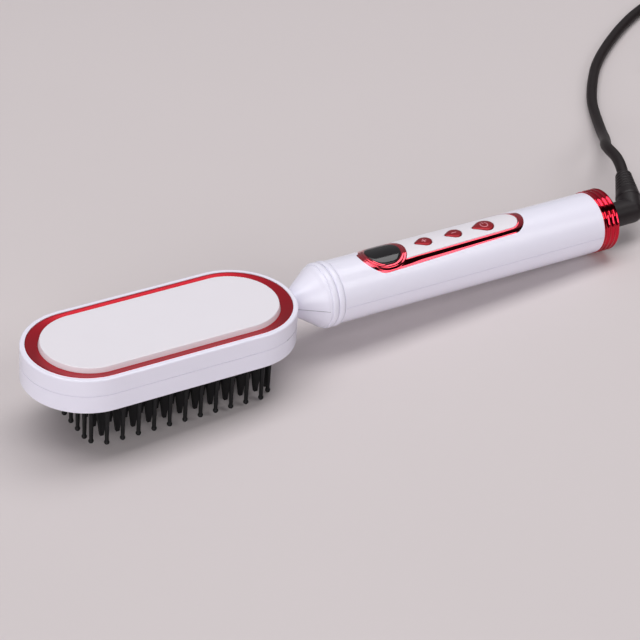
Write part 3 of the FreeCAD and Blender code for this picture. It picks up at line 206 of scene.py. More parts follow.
def makeHairlines():
    # thin scratches along the object as a mask
    group, entry, leave = newGroup(
        "hairlineScratches", [("Scale", "NodeSocketFloat", 900.0), ("Depth", "NodeSocketFloat", 0.5)],
        [("Mask", "NodeSocketFloat")])
    lines = addNoise(group, entry.outputs["Scale"], 2.0, effectSetup["scratchStretch"])
    patchScale = addMath(group, "MULTIPLY", entry.outputs["Scale"], effectSetup["patchShare"])
    patch = addNoise(group, patchScale, 1.0)
    sharp = addMath(group, "GREATER_THAN", lines, effectSetup["scratchCut"])
    masked = addMath(group, "MULTIPLY", sharp, addMath(group, "GREATER_THAN", patch, 0.5))
    group.links.new(addMath(group, "MULTIPLY", masked, entry.outputs["Depth"]), leave.inputs["Mask"])
    return group


def makeWovenThreads():
    # crossing threads of a strap or a glass cloth as a height
    group, entry, leave = newGroup(
        "wovenThreads", [("Scale", "NodeSocketFloat", 900.0)], [("Height", "NodeSocketFloat")])
    where = group.nodes.new("ShaderNodeTexCoord").outputs["Object"]
    waves = []
    for direction in ("X", "Y"):
        wave = group.nodes.new("ShaderNodeTexWave")
        wave.bands_direction = direction
        wave.inputs["Distortion"].default_value = effectSetup["threadBend"]
        wave.inputs["Detail Scale"].default_value = effectSetup["threadDetail"]
        group.links.new(where, wave.inputs["Vector"])
        group.links.new(entry.outputs["Scale"], wave.inputs["Scale"])
        waves.append(wave.outputs["Fac"])
    group.links.new(addMath(group, "MULTIPLY", *waves), leave.inputs["Height"])
    return group


def makePartingShadeLine():
    # painted shade: a darker line along the seam between the housing halves, over a stretch of the brush
    group, entry, leave = newGroup(
        "partingLine",
        [("Color", "NodeSocketColor", (0.8, 0.8, 0.8, 1)), ("Depth", "NodeSocketFloat", 0.4),
         ("Half Width", "NodeSocketFloat", 0.00017), ("From", "NodeSocketFloat", 0.0),
         ("To", "NodeSocketFloat", 0.0)],
        [("Color", "NodeSocketColor")])
    where = group.nodes.new("ShaderNodeTexCoord").outputs["Object"]
    upward = brushMatrix.to_3x3() @ Vector((0, 0, 1))
    above = addMath(group, "SUBTRACT", addDot(group, where, upward), upward.dot(brushMatrix.translation))
    inside = addMath(group, "LESS_THAN", addMath(group, "ABSOLUTE", above), entry.outputs["Half Width"])
    split = group.nodes.new("ShaderNodeSeparateXYZ")
    group.links.new(where, split.inputs["Vector"])
    after = addMath(group, "GREATER_THAN", split.outputs["X"], entry.outputs["From"])
    before = addMath(group, "LESS_THAN", split.outputs["X"], entry.outputs["To"])
    mask = addMath(group, "MULTIPLY", inside, addMath(group, "MULTIPLY", after, before))
    level = addMath(group, "SUBTRACT", 1.0, addMath(group, "MULTIPLY", mask, entry.outputs["Depth"]))
    group.links.new(addLevel(group, entry.outputs["Color"], level), leave.inputs["Color"])
    return group


shaderGroups = {
    "drift": makeTintDrift(), "grain": makeMicroGrain(), "wear": makeHandlingWear(),
    "scratch": makeHairlines(), "weave": makeWovenThreads(), "parting": makePartingShadeLine(),
}
print("shader groups made")


# one entry a material: colour with its drift, roughness with its wear, grain as scale and depth;
# parting is the stretch along the table's X where a painted shade line darkens the housing's seam
materialBook = {
    "white_shell": {"color": srgb(235, 232, 246), "drift": 0.012, "rough": 0.15, "wear": 0.07,
                    "grain": 1500, "bump": 0.03, "specular": 0.30, "parting": (-0.050, -0.0212)},
    "white_panel": {"color": srgb(232, 227, 234), "drift": 0.010, "rough": 0.36, "wear": 0.08,
                    "grain": 1800, "bump": 0.05, "specular": 0.30},
    "red_chrome": {"color": srgb(208, 22, 54), "drift": 0.05, "rough": 0.03, "wear": 0.03, "metal": 1.0,
                   "grain": 300, "bump": 0.006, "coat": 1.0, "coatRough": 0.03, "coatIor": 1.6,
                   "scratch": 0.03},
    "red_flute": {"color": srgb(206, 18, 48), "drift": 0.05, "rough": 0.04, "wear": 0.03, "metal": 1.0,
                  "grain": 300, "bump": 0.006, "coat": 0.35, "coatRough": 0.03, "scratch": 0.03},
    "red_satin": {"color": srgb(197, 38, 52), "drift": 0.05, "rough": 0.30, "wear": 0.08, "metal": 1.0,
                  "grain": 900, "bump": 0.04, "coat": 0.2, "coatRough": 0.25, "scratch": 0.05},
    "red_plastic": {"color": srgb(166, 22, 36), "drift": 0.08, "driftScale": 4000, "rough": 0.30,
                    "wear": 0.08, "metal": 0.6, "grain": 3000, "bump": 0.06, "coat": 0.25, "coatRough": 0.12},
    "smoked_lens": {"color": srgb(22, 19, 21), "drift": 0.05, "rough": 0.07, "wear": 0.06,
                    "grain": 300, "bump": 0.01, "scratch": 0.05},
    "black_nylon": {"color": srgb(9, 9, 11), "drift": 0.12, "rough": 0.48, "wear": 0.12,
                    "grain": 2600, "bump": 0.18, "specular": 0.28},
    "coated_aluminium": {"color": srgb(9, 9, 11), "drift": 0.15, "rough": 0.46, "wear": 0.15,
                         "grain": 3200, "bump": 0.22, "specular": 0.28},
    "bare_aluminium": {"color": srgb(205, 206, 210), "drift": 0.06, "rough": 0.30, "wear": 0.12, "metal": 1.0,
                       "grain": 900, "bump": 0.08, "scratch": 0.15},
    "steel": {"color": srgb(186, 187, 192), "drift": 0.06, "rough": 0.28, "wear": 0.14, "metal": 1.0,
              "grain": 1400, "bump": 0.08, "scratch": 0.12},
    "mica": {"color": srgb(176, 160, 128), "drift": 0.10, "rough": 0.70, "wear": 0.10,
             "grain": 900, "bump": 0.15, "weave": 1500},
    "board_green": {"color": srgb(22, 96, 48), "drift": 0.10, "rough": 0.38, "wear": 0.10,
                    "grain": 700, "bump": 0.10, "coat": 0.3, "coatRough": 0.2},
    "dark_part": {"color": srgb(34, 34, 36), "drift": 0.12, "rough": 0.45, "wear": 0.12,
                  "grain": 2200, "bump": 0.15},
    "bead_glass": {"color": srgb(190, 130, 70), "drift": 0.10, "rough": 0.12, "wear": 0.05,
                   "grain": 600, "bump": 0.03, "coat": 0.5, "coatRough": 0.05},
    "wire_white": {"color": srgb(228, 226, 216), "drift": 0.05, "rough": 0.50, "wear": 0.12,
                   "grain": 1800, "bump": 0.12},
    "wire_brown": {"color": srgb(104, 66, 44), "drift": 0.08, "rough": 0.45, "wear": 0.12,
                   "grain": 1800, "bump": 0.12},
    "cord_black": {"color": srgb(28, 19, 21), "drift": 0.10, "rough": 0.48, "wear": 0.14,
                   "grain": 2400, "bump": 0.20, "specular": 0.32},
    "plug_black": {"color": srgb(26, 17, 20), "drift": 0.10, "rough": 0.40, "wear": 0.14,
                   "grain": 2600, "bump": 0.18, "specular": 0.4},
    "strap_black": {"color": srgb(26, 25, 27), "drift": 0.15, "rough": 0.80, "wear": 0.08,
                    "grain": 2000, "bump": 0.15, "weave": 2600, "sheen": 0.25},
    "pin_metal": {"color": srgb(214, 208, 190), "drift": 0.04, "rough": 0.20, "wear": 0.12, "metal": 1.0,
                  "grain": 900, "bump": 0.05, "scratch": 0.10},
    "mark_pink": {"color": srgb(206, 128, 138), "drift": 0.05, "rough": 0.42, "wear": 0.08,
                  "grain": 3000, "bump": 0.08},
}
paintSockets = {
    "metal": "Metallic", "coat": "Coat Weight", "coatRough": "Coat Roughness", "coatIor": "Coat IOR",
    "sheen": "Sheen Weight", "specular": "Specular IOR Level",
}


def addGroup(tree, kind, values):
    # values are plain ones, or the sockets that feed them
    node = tree.nodes.new("ShaderNodeGroup")
    node.node_tree = shaderGroups[kind]
    for label, value in values.items():
        if isinstance(value, bpy.types.NodeSocket):
            tree.links.new(value, node.inputs[label])
        else:
            node.inputs[label].default_value = value
    return node.outputs[0]


def makeMaterial(name, values):
    material = bpy.data.materials.new(name)
    material.use_nodes = True
    tree = material.node_tree
    paint = tree.nodes["Principled BSDF"]
    tint = addGroup(tree, "drift", {"Color": values["color"], "Spread": values["drift"],
                                    "Scale": values.get("driftScale", 60.0)})
    # painted shade: the colour is darkened in a thin line along the housing's seam
    if "parting" in values:
        start, stop = values["parting"]
        tint = addGroup(tree, "parting", {"Color": tint, "From": start, "To": stop})
    tree.links.new(tint, paint.inputs["Base Color"])
    rough = addGroup(tree, "wear", {"Base": values["rough"], "Amount": values["wear"]})
    height = addGroup(tree, "grain", {"Scale": values["grain"]})
    if "scratch" in values:
        mask = addGroup(tree, "scratch", {"Depth": values["scratch"]})
        rough = addMath(tree, "ADD", rough, mask)
    if "weave" in values:
        threads = addGroup(tree, "weave", {"Scale": values["weave"]})
        raised = addMath(tree, "MULTIPLY", threads, effectSetup["threadRise"])
        height = addMath(tree, "ADD", raised, height)
    tree.links.new(rough, paint.inputs["Roughness"])
    bump = tree.nodes.new("ShaderNodeBump")
    bump.inputs["Strength"].default_value = values["bump"]
    bump.inputs["Distance"].default_value = effectSetup["bumpDistance"]
    tree.links.new(height, bump.inputs["Height"])
    tree.links.new(bump.outputs["Normal"], paint.inputs["Normal"])
    for key, label in paintSockets.items():
        if key in values:
            paint.inputs[label].default_value = values[key]
    return material


materials = {name: makeMaterial(name, values) for name, values in materialBook.items()}
for part in frame["record"]["subparts"]:
    mesh = nodes[part["node"]].data
    mesh.materials.clear()
    mesh.materials.append(materials[part["material_slot"]])
print("materials made:", len(materials))


# mesh helpers
mergeDistance = 1e-7


def finishPiece(name, shape, slotName, body, replaced=(), sharpAngle=40, finish=None):
    bmesh.ops.remove_doubles(shape, verts=shape.verts, dist=mergeDistance)
    bmesh.ops.recalc_face_normals(shape, faces=shape.faces)
    mesh = bpy.data.meshes.new(name)
    shape.to_mesh(mesh)
    shape.free()
    mesh.shade_smooth()
    mesh.set_sharp_from_angle(angle=math.radians(sharpAngle))
    mesh.materials.append(materials[finish or slotName])
    piece = bpy.data.objects.new(name, mesh)
    scene.collection.objects.link(piece)
    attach(piece, body)
    if replaced:
        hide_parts(*replaced)
    return piece


def addPath(shape, points, closed=True):
    # vertices at the points, and edges from each to the next
    verts = [shape.verts.new(point) for point in points]
    following = verts[1:] + verts[:1] if closed else verts[1:]
    edges = [shape.edges.new(pair) for pair in zip(verts, following)]
    return verts, edges


def loftRings(shape, rings, joined):
    # bridges closed rings with the same count of points; joined bridges the last ring to the first
    following = rings[1:] + rings[:1] if joined else rings[1:]
    for pair in zip(rings, following):
        loops = [addPath(shape, ring)[1] for ring in pair]
        bmesh.ops.bridge_loops(shape, edges=loops[0] + loops[1])
    if not joined:
        for ring in (rings[0], rings[-1]):
            bmesh.ops.contextual_create(shape, geom=addPath(shape, ring)[1])


def capsulePoints(leftX, leftRadius, rightX, rightRadius, arcSteps, flankSteps):
    # two round ends on the long axis joined by straight flanks
    meet = math.pi / 2 - math.asin((leftRadius - rightRadius) / (rightX - leftX))
    points = []
    for middle, radius, start, sweep in ((rightX, rightRadius, -meet, 2 * meet),
                                         (leftX, leftRadius, meet, 2 * (math.pi - meet))):
        for i in range(arcSteps + 1):
            angle = start + sweep * i / arcSteps
            points.append(Vector((middle + radius * math.cos(angle), radius * math.sin(angle))))
    half = arcSteps + 1
    ring = []
    for first, after in ((points[:half], points[half]), (points[half:], points[0])):
        ring += first
        ring += [first[-1].lerp(after, i / flankSteps) for i in range(1, flankSteps)]
    return ring


def bandRings(outer, inner, profile, heightOf):
    # rings across a band: share 0 lies on the outer outline and share 1 on the inner one
    rings = []
    for share, level in profile:
        ring = [a.lerp(b, share) for a, b in zip(outer, inner)]
        rings.append([fromBrush(p.x, p.y, heightOf(p, level)) for p in ring])
    return rings


def turnProfile(shape, profile, place, steps, closed=True):
    # profile of (along, radius) pairs turned about its own X axis, then put in place
    earlier = set(shape.verts)
    verts, edges = addPath(shape, [(along, 0, radius) for along, radius in profile], closed)
    bmesh.ops.spin(shape, geom=verts + edges, axis=(1, 0, 0), cent=(0, 0, 0), angle=2 * math.pi,
                   steps=steps, use_merge=True)
    turned = [vert for vert in shape.verts if vert not in earlier]
    bmesh.ops.transform(shape, matrix=place, verts=turned)


def arcPoints(centreX, centreY, radius, start, stop, count):
    points = []
    for i in range(count + 1):
        angle = math.radians(start + (stop - start) * i / count)
        points.append((centreX + radius * math.cos(angle), centreY + radius * math.sin(angle)))
    return points


def barrelHeight(point, radius):
    # on a barrel about the handle's axis
    return math.sqrt(radius ** 2 - point.y ** 2)


# red ring round the head's panel: a narrow lip, then a shallow dish down to the panel's foot
headRing = {
    "middle": -64.2, "outerSpan": 36.0, "outerRadius": 25.9, "innerSpan": 34.7, "innerRadius": 21.6,
    "profile": [(0.0, 5.7), (0.0, 7.66), (0.015, 7.81), (0.05, 7.89), (0.10, 7.87), (0.18, 7.79),
                (0.30, 7.65), (0.42, 7.51), (0.55, 7.37), (0.70, 7.22), (0.85, 7.09), (1.0, 7.0), (1.0, 5.7)],
    "steps": (64, 16), "sharp": 50,
}


def makeHeadRing():
    middle = headRing["middle"]
    outlines = []
    for side in ("outer", "inner"):
        span, radius = headRing[side + "Span"], headRing[side + "Radius"]
        outlines.append(capsulePoints(middle - span, radius, middle + span, radius, *headRing["steps"]))
    shape = bmesh.new()
    rings = bandRings(*outlines, headRing["profile"], lambda point, level: level)
    loftRings(shape, rings, True)
    finishPiece("headRing", shape, "red_chrome", "brush", ["head_trim_ring"], headRing["sharp"], "red_satin")


makeHeadRing()
print("head ring made")

# trim of the control panel: a frame that falls outward, a bezel round the display, a low band behind it
controlTrim = {
    "outer": (45.7, 10.5, 115.0, 8.85), "inner": (48.0, 7.4, 114.5, 6.25), "steps": (48, 24),
    "frame": [(0.0, 13.2), (0.0, 14.46), (0.04, 14.51), (0.15, 14.57), (0.30, 14.62), (0.50, 14.665),
              (0.70, 14.69), (0.88, 14.70), (0.94, 14.69), (0.97, 14.66), (1.0, 14.60), (1.0, 13.2)],
    "lowTop": 14.55, "lowFrom": 62.0, "lowRun": 4.0, "farTop": 14.42, "farFrom": 2.0, "farRun": 3.0,
    "bezelOuter": (46.9, 9.2, 48.9, 9.2), "bezelInner": (46.9, 7.55, 48.9, 7.55),
    "bezel": [(0.0, 13.2), (0.0, 14.50), (0.05, 14.64), (0.12, 14.69), (0.30, 14.71), (0.45, 14.70),
              (0.60, 14.66), (0.75, 14.60), (0.90, 14.52), (1.0, 14.44), (1.0, 13.2)],
    "bandOuter": (46.9, 10.3, 48.9, 10.3), "bandInner": (46.9, 9.0, 48.9, 9.0),
    "band": [(0.0, 13.2), (0.0, 14.46), (0.05, 14.54), (0.12, 14.585), (0.25, 14.605), (0.40, 14.605),
             (0.55, 14.59), (1.0, 14.52), (1.0, 13.2)],
    "roundSteps": (64, 4), "sharp": 50,
}


def frameHeight(point, radius):
    # the frame's top gets lower towards the display, to pass under the bezel, and on the far side
    reaches = {"low": controlTrim["lowFrom"] - point.x, "far": point.y - controlTrim["farFrom"]}
    for kind, reach in reaches.items():
        share = min(1.0, max(0.0, reach / controlTrim[kind + "Run"]))
        radius -= share * max(0.0, radius - controlTrim[kind + "Top"])
    return barrelHeight(point, radius)


def makeControlTrim():
    shape = bmesh.new()
    outlines = [capsulePoints(*controlTrim[side], *controlTrim["steps"]) for side in ("outer", "inner")]
    loftRings(shape, bandRings(*outlines, controlTrim["frame"], frameHeight), True)
    for part in ("bezel", "band"):
        outlines = []
        for side in ("Outer", "Inner"):
            outlines.append(capsulePoints(*controlTrim[part + side], *controlTrim["roundSteps"]))
        loftRings(shape, bandRings(*outlines, controlTrim[part], barrelHeight), True)
    finishPiece("controlTrim", shape, "red_chrome", "brush", ["control_trim"], controlTrim["sharp"])


makeControlTrim()

# display glass, a shallow lens on the same barrel
displayGlass = {
    "outline": (46.9, 7.45, 48.9, 7.45), "radius": 14.82, "middle": (47.9, 0.0),
    "profile": [(1.0, -2.4), (1.0, -0.16), (0.985, -0.05), (0.96, 0.0), (0.85, 0.04), (0.65, 0.08),
                (0.4, 0.11), (0.15, 0.12), (0.03, 0.12)],
    "steps": (64, 6), "sharp": 50,
}


def domeRings(outline, middle, profile, heightOf):
    # rings drawn in from an outline to a point inside it, each lifted off the carrying surface
    centre = Vector(middle)
    rings = []
    for share, lift in profile:
        ring = [centre.lerp(point, share) for point in outline]
        rings.append([fromBrush(p.x, p.y, heightOf(p) + lift) for p in ring])
    return rings


def makeDisplayGlass():
    shape = bmesh.new()
    outline = capsulePoints(*displayGlass["outline"], *displayGlass["steps"])
    rings = domeRings(outline, displayGlass["middle"], displayGlass["profile"],
                      lambda point: barrelHeight(point, displayGlass["radius"]))
    loftRings(shape, rings, False)
    finishPiece("displayGlass", shape, "smoked_lens", "brush", ["display_window"], displayGlass["sharp"])


makeDisplayGlass()

# drop-shaped button caps, each with its raised mark
buttonCaps = {
    "plus": {"x": 69.7, "length": 8.7, "half": 3.25},
    "minus": {"x": 86.0, "length": 8.7, "half": 3.25},
    "power": {"x": 102.3, "length": 11.2, "half": 4.1},
}
capShape = {
    "point": 0.8, "crown": 22.0, "top": 14.42, "summitBack": 0.6,
    "profile": [(1.0, -4.4), (1.0, -0.30), (0.975, -0.14), (0.93, -0.03), (0.85, 0.03), (0.65, 0.09),
                (0.4, 0.13), (0.15, 0.15), (0.03, 0.15)],
    "steps": (40, 10), "sharp": 50,
}
capMarks = {
    "plus": {"lines": [[(-1.3, 0.0), (1.3, 0.0)], [(0.0, -1.3), (0.0, 1.3)]], "width": 0.55},
    "minus": {"lines": [[(-1.3, 0.0), (1.3, 0.0)]], "width": 0.55},
    "power": {"lines": [arcPoints(0.0, 0.0, 1.75, 125, 415, 28), [(0.0, 0.6), (0.0, 2.1)]], "width": 0.5},
}
# across a mark's stroke: share of its half width, height above the cap's crown
strokeSection = [(-1.0, -0.08), (-1.0, 0.168), (-0.8, 0.2), (0.8, 0.2), (1.0, 0.168), (1.0, -0.08)]


def crownHeight(point):
    return capShape["top"] - capShape["crown"] + math.sqrt(capShape["crown"] ** 2 - point.y ** 2)


def addStroke(shape, line, width, centreX):
    # flat stroke along a line of points, standing a little above the cap
    points = [Vector(p) for p in line]
    sections = []
    for i, point in enumerate(points):
        ahead = points[min(i + 1, len(points) - 1)] - points[max(i - 1, 0)]
        across = Vector((-ahead.y, ahead.x)).normalized() * width / 2
        section = []
        for side, level in strokeSection:
            spot = point + across * side
            section.append(fromBrush(centreX + spot.x, spot.y, crownHeight(spot) + level))
        sections.append(section)
    loftRings(shape, sections, False)


def makeButtons():
    for name, size in buttonCaps.items():
        pointX = size["x"] - size["length"] / 2 + capShape["point"]
        roundX = size["x"] + size["length"] / 2 - size["half"]
        summitX = roundX - capShape["summitBack"]
        outline = capsulePoints(pointX, capShape["point"], roundX, size["half"], *capShape["steps"])
        shape = bmesh.new()
        loftRings(shape, domeRings(outline, (summitX, 0.0), capShape["profile"], crownHeight), False)
        finishPiece(name + "Cap", shape, "red_plastic", name + "_key", [name + "_button"], capShape["sharp"])
        shape = bmesh.new()
        for line in capMarks[name]["lines"]:
            addStroke(shape, line, capMarks[name]["width"], summitX)
        finishPiece(name + "Mark", shape, "red_plastic", name + "_key", finish="mark_pink")


makeButtons()
print("control panel made")

# round crowns on the collar's two rings
collarCrowns = {
    "start": 14.40, "pitch": 3.30, "rings": 2, "foot": 14.35, "rise": 0.72, "half": 1.52, "bore": 13.6,
    "arcSteps": 16, "turnSteps": 192, "sharp": 50,
}


def makeCollarCrowns():
    shape = bmesh.new()
    half, bore = collarCrowns["half"], collarCrowns["bore"]
    for i in range(collarCrowns["rings"]):
        middle = collarCrowns["start"] + (i + 0.5) * collarCrowns["pitch"]
        profile = [(middle - half, bore)]
        for step in range(collarCrowns["arcSteps"] + 1):
            angle = math.pi * step / collarCrowns["arcSteps"]
            profile.append((middle - half * math.cos(angle),
                            collarCrowns["foot"] + collarCrowns["rise"] * math.sin(angle)))
        profile.append((middle + half, bore))
        turnProfile(shape, profile, brushScaled, collarCrowns["turnSteps"])
    finishPiece("collarCrowns", shape, "white_shell", "brush", sharpAngle=collarCrowns["sharp"])


makeCollarCrowns()

# end ring with three hollow flutes
endRing = {
    "start": 163.8, "stop": 172.1, "radius": 14.9, "bore": 13.2, "edge": 0.2, "fluteRadius": 1.6,
    "fluteDepth": 0.6, "flutePitch": 2.5, "fluteSteps": 14, "turnSteps": 192, "sharp": 30,
}


def makeEndRing():
    start, stop, radius, edge = (endRing[key] for key in ("start", "stop", "radius", "edge"))
    profile = [(start, endRing["bore"]), (start, radius - edge), (start + edge / 3, radius - edge / 3)]
    middle = (start + stop) / 2
    reach = endRing["fluteRadius"]
    sink = reach - endRing["fluteDepth"]
    half = math.degrees(math.acos(sink / reach))
    for flute in (-1, 0, 1):
        along = middle + flute * endRing["flutePitch"]
        profile += arcPoints(along, radius + sink, reach, -90 - half, -90 + half, endRing["fluteSteps"])
    profile += [(stop - edge / 3, radius - edge / 3), (stop, radius - edge), (stop, endRing["bore"])]
    shape = bmesh.new()
    turnProfile(shape, profile, brushScaled, endRing["turnSteps"])
    finishPiece("endRing", shape, "red_chrome", "brush", ["end_ring"], endRing["sharp"], "red_flute")


makeEndRing()

# strain relief: round collar, then ribs that get thinner towards the cord
outletSetup = {"cornerX": 190.0, "tilt": 26.0, "rise": 15.0, "length": 6.8}
reliefSetup = {
    "length": 17.2, "neck": 3.6, "root": 5.8, "tip": 3.9, "ribs": 7, "groove": 0.5,
    "collar": [(0.0, 4.0), (0.0, 5.85), (0.1, 6.1), (0.35, 6.2), (1.6, 6.2), (2.1, 6.08), (2.7, 6.02),
               (3.6, 5.8)],
    "rib": [(0.0, 0.7), (0.06, 0.35), (0.16, 0.1), (0.32, 0.0), (0.68, 0.0), (0.84, 0.1), (0.94, 0.35)],
    "firstRibFrom": 0.3,
    "mouth": [(16.95, 3.57), (17.2, 2.8), (17.2, 2.5), (14.2, 2.5)],
    "turnSteps": 96, "sharp": 35,
}


def outletHeading():
    tilt, rise = math.radians(outletSetup["tilt"]), math.radians(outletSetup["rise"])
    return Vector((math.sin(tilt) * math.cos(rise), math.cos(tilt) * math.cos(rise), math.sin(rise)))


def outletMatrix():
    along = outletHeading()
    side = along.cross(Vector((0, 0, 1))).normalized()
    turn = Matrix((along, side, along.cross(side))).transposed().to_4x4()
    foot = (Vector((outletSetup["cornerX"], 0, 0)) + along * outletSetup["length"]) * millimetre
    return brushMatrix @ Matrix.Translation(foot) @ turn @ Matrix.Scale(millimetre, 4)


def makeStrainRelief():
    neck, root, tip = reliefSetup["neck"], reliefSetup["root"], reliefSetup["tip"]
    run = reliefSetup["length"] - neck
    pitch = run / reliefSetup["ribs"]
    profile = list(reliefSetup["collar"])
    for i in range(reliefSetup["ribs"]):
        for part, sink in reliefSetup["rib"]:
            if i == 0 and part < reliefSetup["firstRibFrom"]:
                continue
            along = (i + part) * pitch
            radius = root + (tip - root) * along / run
            profile.append((neck + along, radius - sink * reliefSetup["groove"]))
    profile += reliefSetup["mouth"]
    shape = bmesh.new()
    turnProfile(shape, profile, outletMatrix(), reliefSetup["turnSteps"])
    return finishPiece("strainRelief", shape, "plug_black", "cord_set", ["strain_relief"],
                       reliefSetup["sharp"])


strainRelief = makeStrainRelief()
print("end ring and strain relief made")

# strap round the coil, with its tongue lapped over on top
strapSetup = {
    "thick": 0.0008, "corner": 0.0034, "cornerSteps": 8, "edge": 0.0003, "rounding": 0.3, "sharp": 35,
}
tongueSetup = {
    "start": 0.22, "run": 0.55, "lift": 0.0009, "foot": -0.0003, "inset": 0.0003, "bevel": 0.0006,
    "shoulder": 0.7, "noseRun": 0.12, "noseNarrow": 0.0012, "noseLift": 0.45, "noseSlope": 6,
    "stations": (0.0, 0.04, 0.12, 0.3, 0.5, 0.7, 0.9, 0.97, 1.0),
}


def strapPath(low, high, inset):
    # closed loop round the coil's section, seen along the strap's width
    corner = strapSetup["corner"]
    right, left = high.y - corner, low.y + corner
    top, bottom = high.z - corner, low.z + corner
    points = []
    for i, (y, z) in enumerate(((right, top), (left, top), (left, bottom), (right, bottom))):
        points += arcPoints(y, z, corner - inset, 90 * i, 90 * (i + 1), strapSetup["cornerSteps"])
    return points


def tongueSections(low, high):
    # cross sections along the tongue, which starts with a narrow, low nose
    across = high.y - low.y
    sections = []
    for share in tongueSetup["stations"]:
        y = low.y + across * (tongueSetup["start"] + tongueSetup["run"] * share)
        nose = max(0.0, 1 - share / tongueSetup["noseRun"])
        inset = tongueSetup["inset"] + tongueSetup["noseNarrow"] * nose ** 2
        rise = tongueSetup["lift"] * min(1.0, tongueSetup["noseLift"] + share * tongueSetup["noseSlope"])
        flank = [(inset, tongueSetup["foot"]), (inset, rise * tongueSetup["shoulder"]),
                 (inset + tongueSetup["bevel"], rise)]
        section = [Vector((low.x + x, y, high.z + z)) for x, z in flank]
        section += [Vector((high.x - x, y, high.z + z)) for x, z in reversed(flank)]
        sections.append(section)
    return sections


def makeStrap():
    low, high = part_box("cord_tie")
    edge, thick = strapSetup["edge"], strapSetup["thick"]
    outside = thick * strapSetup["rounding"]
    inside = thick - outside
    stations = [(low.x, outside), (low.x + edge, 0.0), (high.x - edge, 0.0), (high.x, outside),
                (high.x, inside), (high.x - edge, thick), (low.x + edge, thick), (low.x, inside)]
    rings = []
    for x, inset in stations:
        rings.append([Vector((x, y, z)) for y, z in strapPath(low, high, inset)])
    shape = bmesh.new()
    loftRings(shape, rings, True)
    loftRings(shape, tongueSections(low, high), False)
    return finishPiece("coilStrap", shape, "strap_black", "cord_set", ["cord_tie"], strapSetup["sharp"])


coilStrap = makeStrap()

# plug pins with round tips, and grip bars on the plug's flat side
pinSetup = {
    "radius": 0.0024, "length": 0.019, "spacing": 0.019, "root": -0.001, "tip": 0.0016,
    "tipCurve": [(0.35, 0.97), (0.65, 0.86), (0.88, 0.66), (1.0, 0.40)], "turnSteps": 48,
}
gripSetup = {
    "bars": 4, "pitch": 0.0034, "width": 0.0016, "rise": 0.0006, "halfLength": 0.0075, "shorten": 0.0011,
    "first": 0.0215, "bevel": 0.00045, "bevelSegments": 4,
}


def makePlugPins():
    low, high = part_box("plug_pins")
    tip, radius = pinSetup["tip"], pinSetup["radius"]
    shank = pinSetup["length"] - tip
    profile = [(pinSetup["root"], 0.0), (pinSetup["root"], radius), (shank, radius)]
    profile += [(shank + tip * along, radius * share) for along, share in pinSetup["tipCurve"]]
    profile.append((pinSetup["length"], 0.0))
    middle = (low + high) / 2
    shape = bmesh.new()
    for side in (-1, 1):
        foot = Vector((high.x, middle.y + side * pinSetup["spacing"] / 2, middle.z))
        place = Matrix.Translation(foot) @ Matrix.Rotation(math.pi, 4, "Z")
        turnProfile(shape, profile, place, pinSetup["turnSteps"], closed=False)
    return finishPiece("plugPins", shape, "pin_metal", "cord_set", ["plug_pins"])


plugPins = makePlugPins()


def makePlugGrip():
    low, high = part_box("mains_plug")
    middle = (low.y + high.y) / 2
    shape = bmesh.new()
    for i in range(gripSetup["bars"]):
        x = low.x + gripSetup["first"] + i * gripSetup["pitch"]
        half = gripSetup["halfLength"] - i * gripSetup["shorten"]
        made = bmesh.ops.create_cube(shape, size=1.0)["verts"]
        bmesh.ops.scale(shape, verts=made, vec=(gripSetup["width"], 2 * half, 2 * gripSetup["rise"]))
        bmesh.ops.translate(shape, verts=made, vec=(x, middle, high.z))
    bmesh.ops.bevel(shape, geom=list(shape.edges), offset=gripSetup["bevel"], affect="EDGES",
                    segments=gripSetup["bevelSegments"], profile=0.5, material=-1)
    return finishPiece("plugGrip", shape, "plug_black", "cord_set")


plugGrip = makePlugGrip()
print("plug and strap made")

# the cord: route points in metres, then the coil's turns, all on one spline
cordRoute = {
    "diameter": 0.0055,
    "length": 1.65,
    "firstRun": 0.0105,
    "ahead": [
        (0.0090, 0.0272, 0.0186), (0.0184, 0.0386, 0.0126), (0.0274, 0.0536, 0.0066),
        (0.0363, 0.0697, 0.0034), (0.0448, 0.0862, 0.0028), (0.0563, 0.1017, 0.0028),
        (0.0700, 0.1174, 0.0028), (0.0876, 0.1316, 0.0028), (0.1071, 0.1446, 0.0028),
        (0.1281, 0.1556, 0.0028),
    ],
    "coilCentre": (0.1784, 0.1224),
    "coilRadius": 0.04075,
    "coilStep": 0.0061,
    "coilTurns": 3.5,
    "coilCross": 0.5,  # turn on which the cord climbs to the upper layer
    "coilDip": 0.0006,
    "coilLow": 0.00385,
    "pointsPerTurn": 16,
    "leadIn": (4, 1),  # points on the straight way into the coil, in diameters before its top
    "ringSteps": 6,
    "splineSteps": 8,
}
cordExit = outletMatrix() @ Vector((reliefSetup["length"], 0, 0))


def coilPoint(turned):
    # inward on the lower layer, up at the middle, outward on the upper layer
    turns, step, cross = cordRoute["coilTurns"], cordRoute["coilStep"], cordRoute["coilCross"]
    inner = cordRoute["coilRadius"] - turns * step
    height = cordRoute["coilLow"]
    if turned <= turns:
        radius = cordRoute["coilRadius"] - turned * step
    elif turned <= turns + cross:
        share = (turned - turns) / cross
        radius = inner - cordRoute["coilDip"] * (1 - math.cos(2 * math.pi * share))
        height += step * (share - math.sin(2 * math.pi * share) / (2 * math.pi))
    else:
        radius = inner + (turned - turns - cross) * step
        height += step
    radius /= math.cos(math.pi / cordRoute["pointsPerTurn"])  # the spline runs inside its points
    angle = math.pi / 2 - 2 * math.pi * turned
    middle = Vector((*cordRoute["coilCentre"], 0)) + Vector((cordExit.x, cordExit.y, 0))
    return middle + Vector((radius * math.cos(angle), radius * math.sin(angle), height))


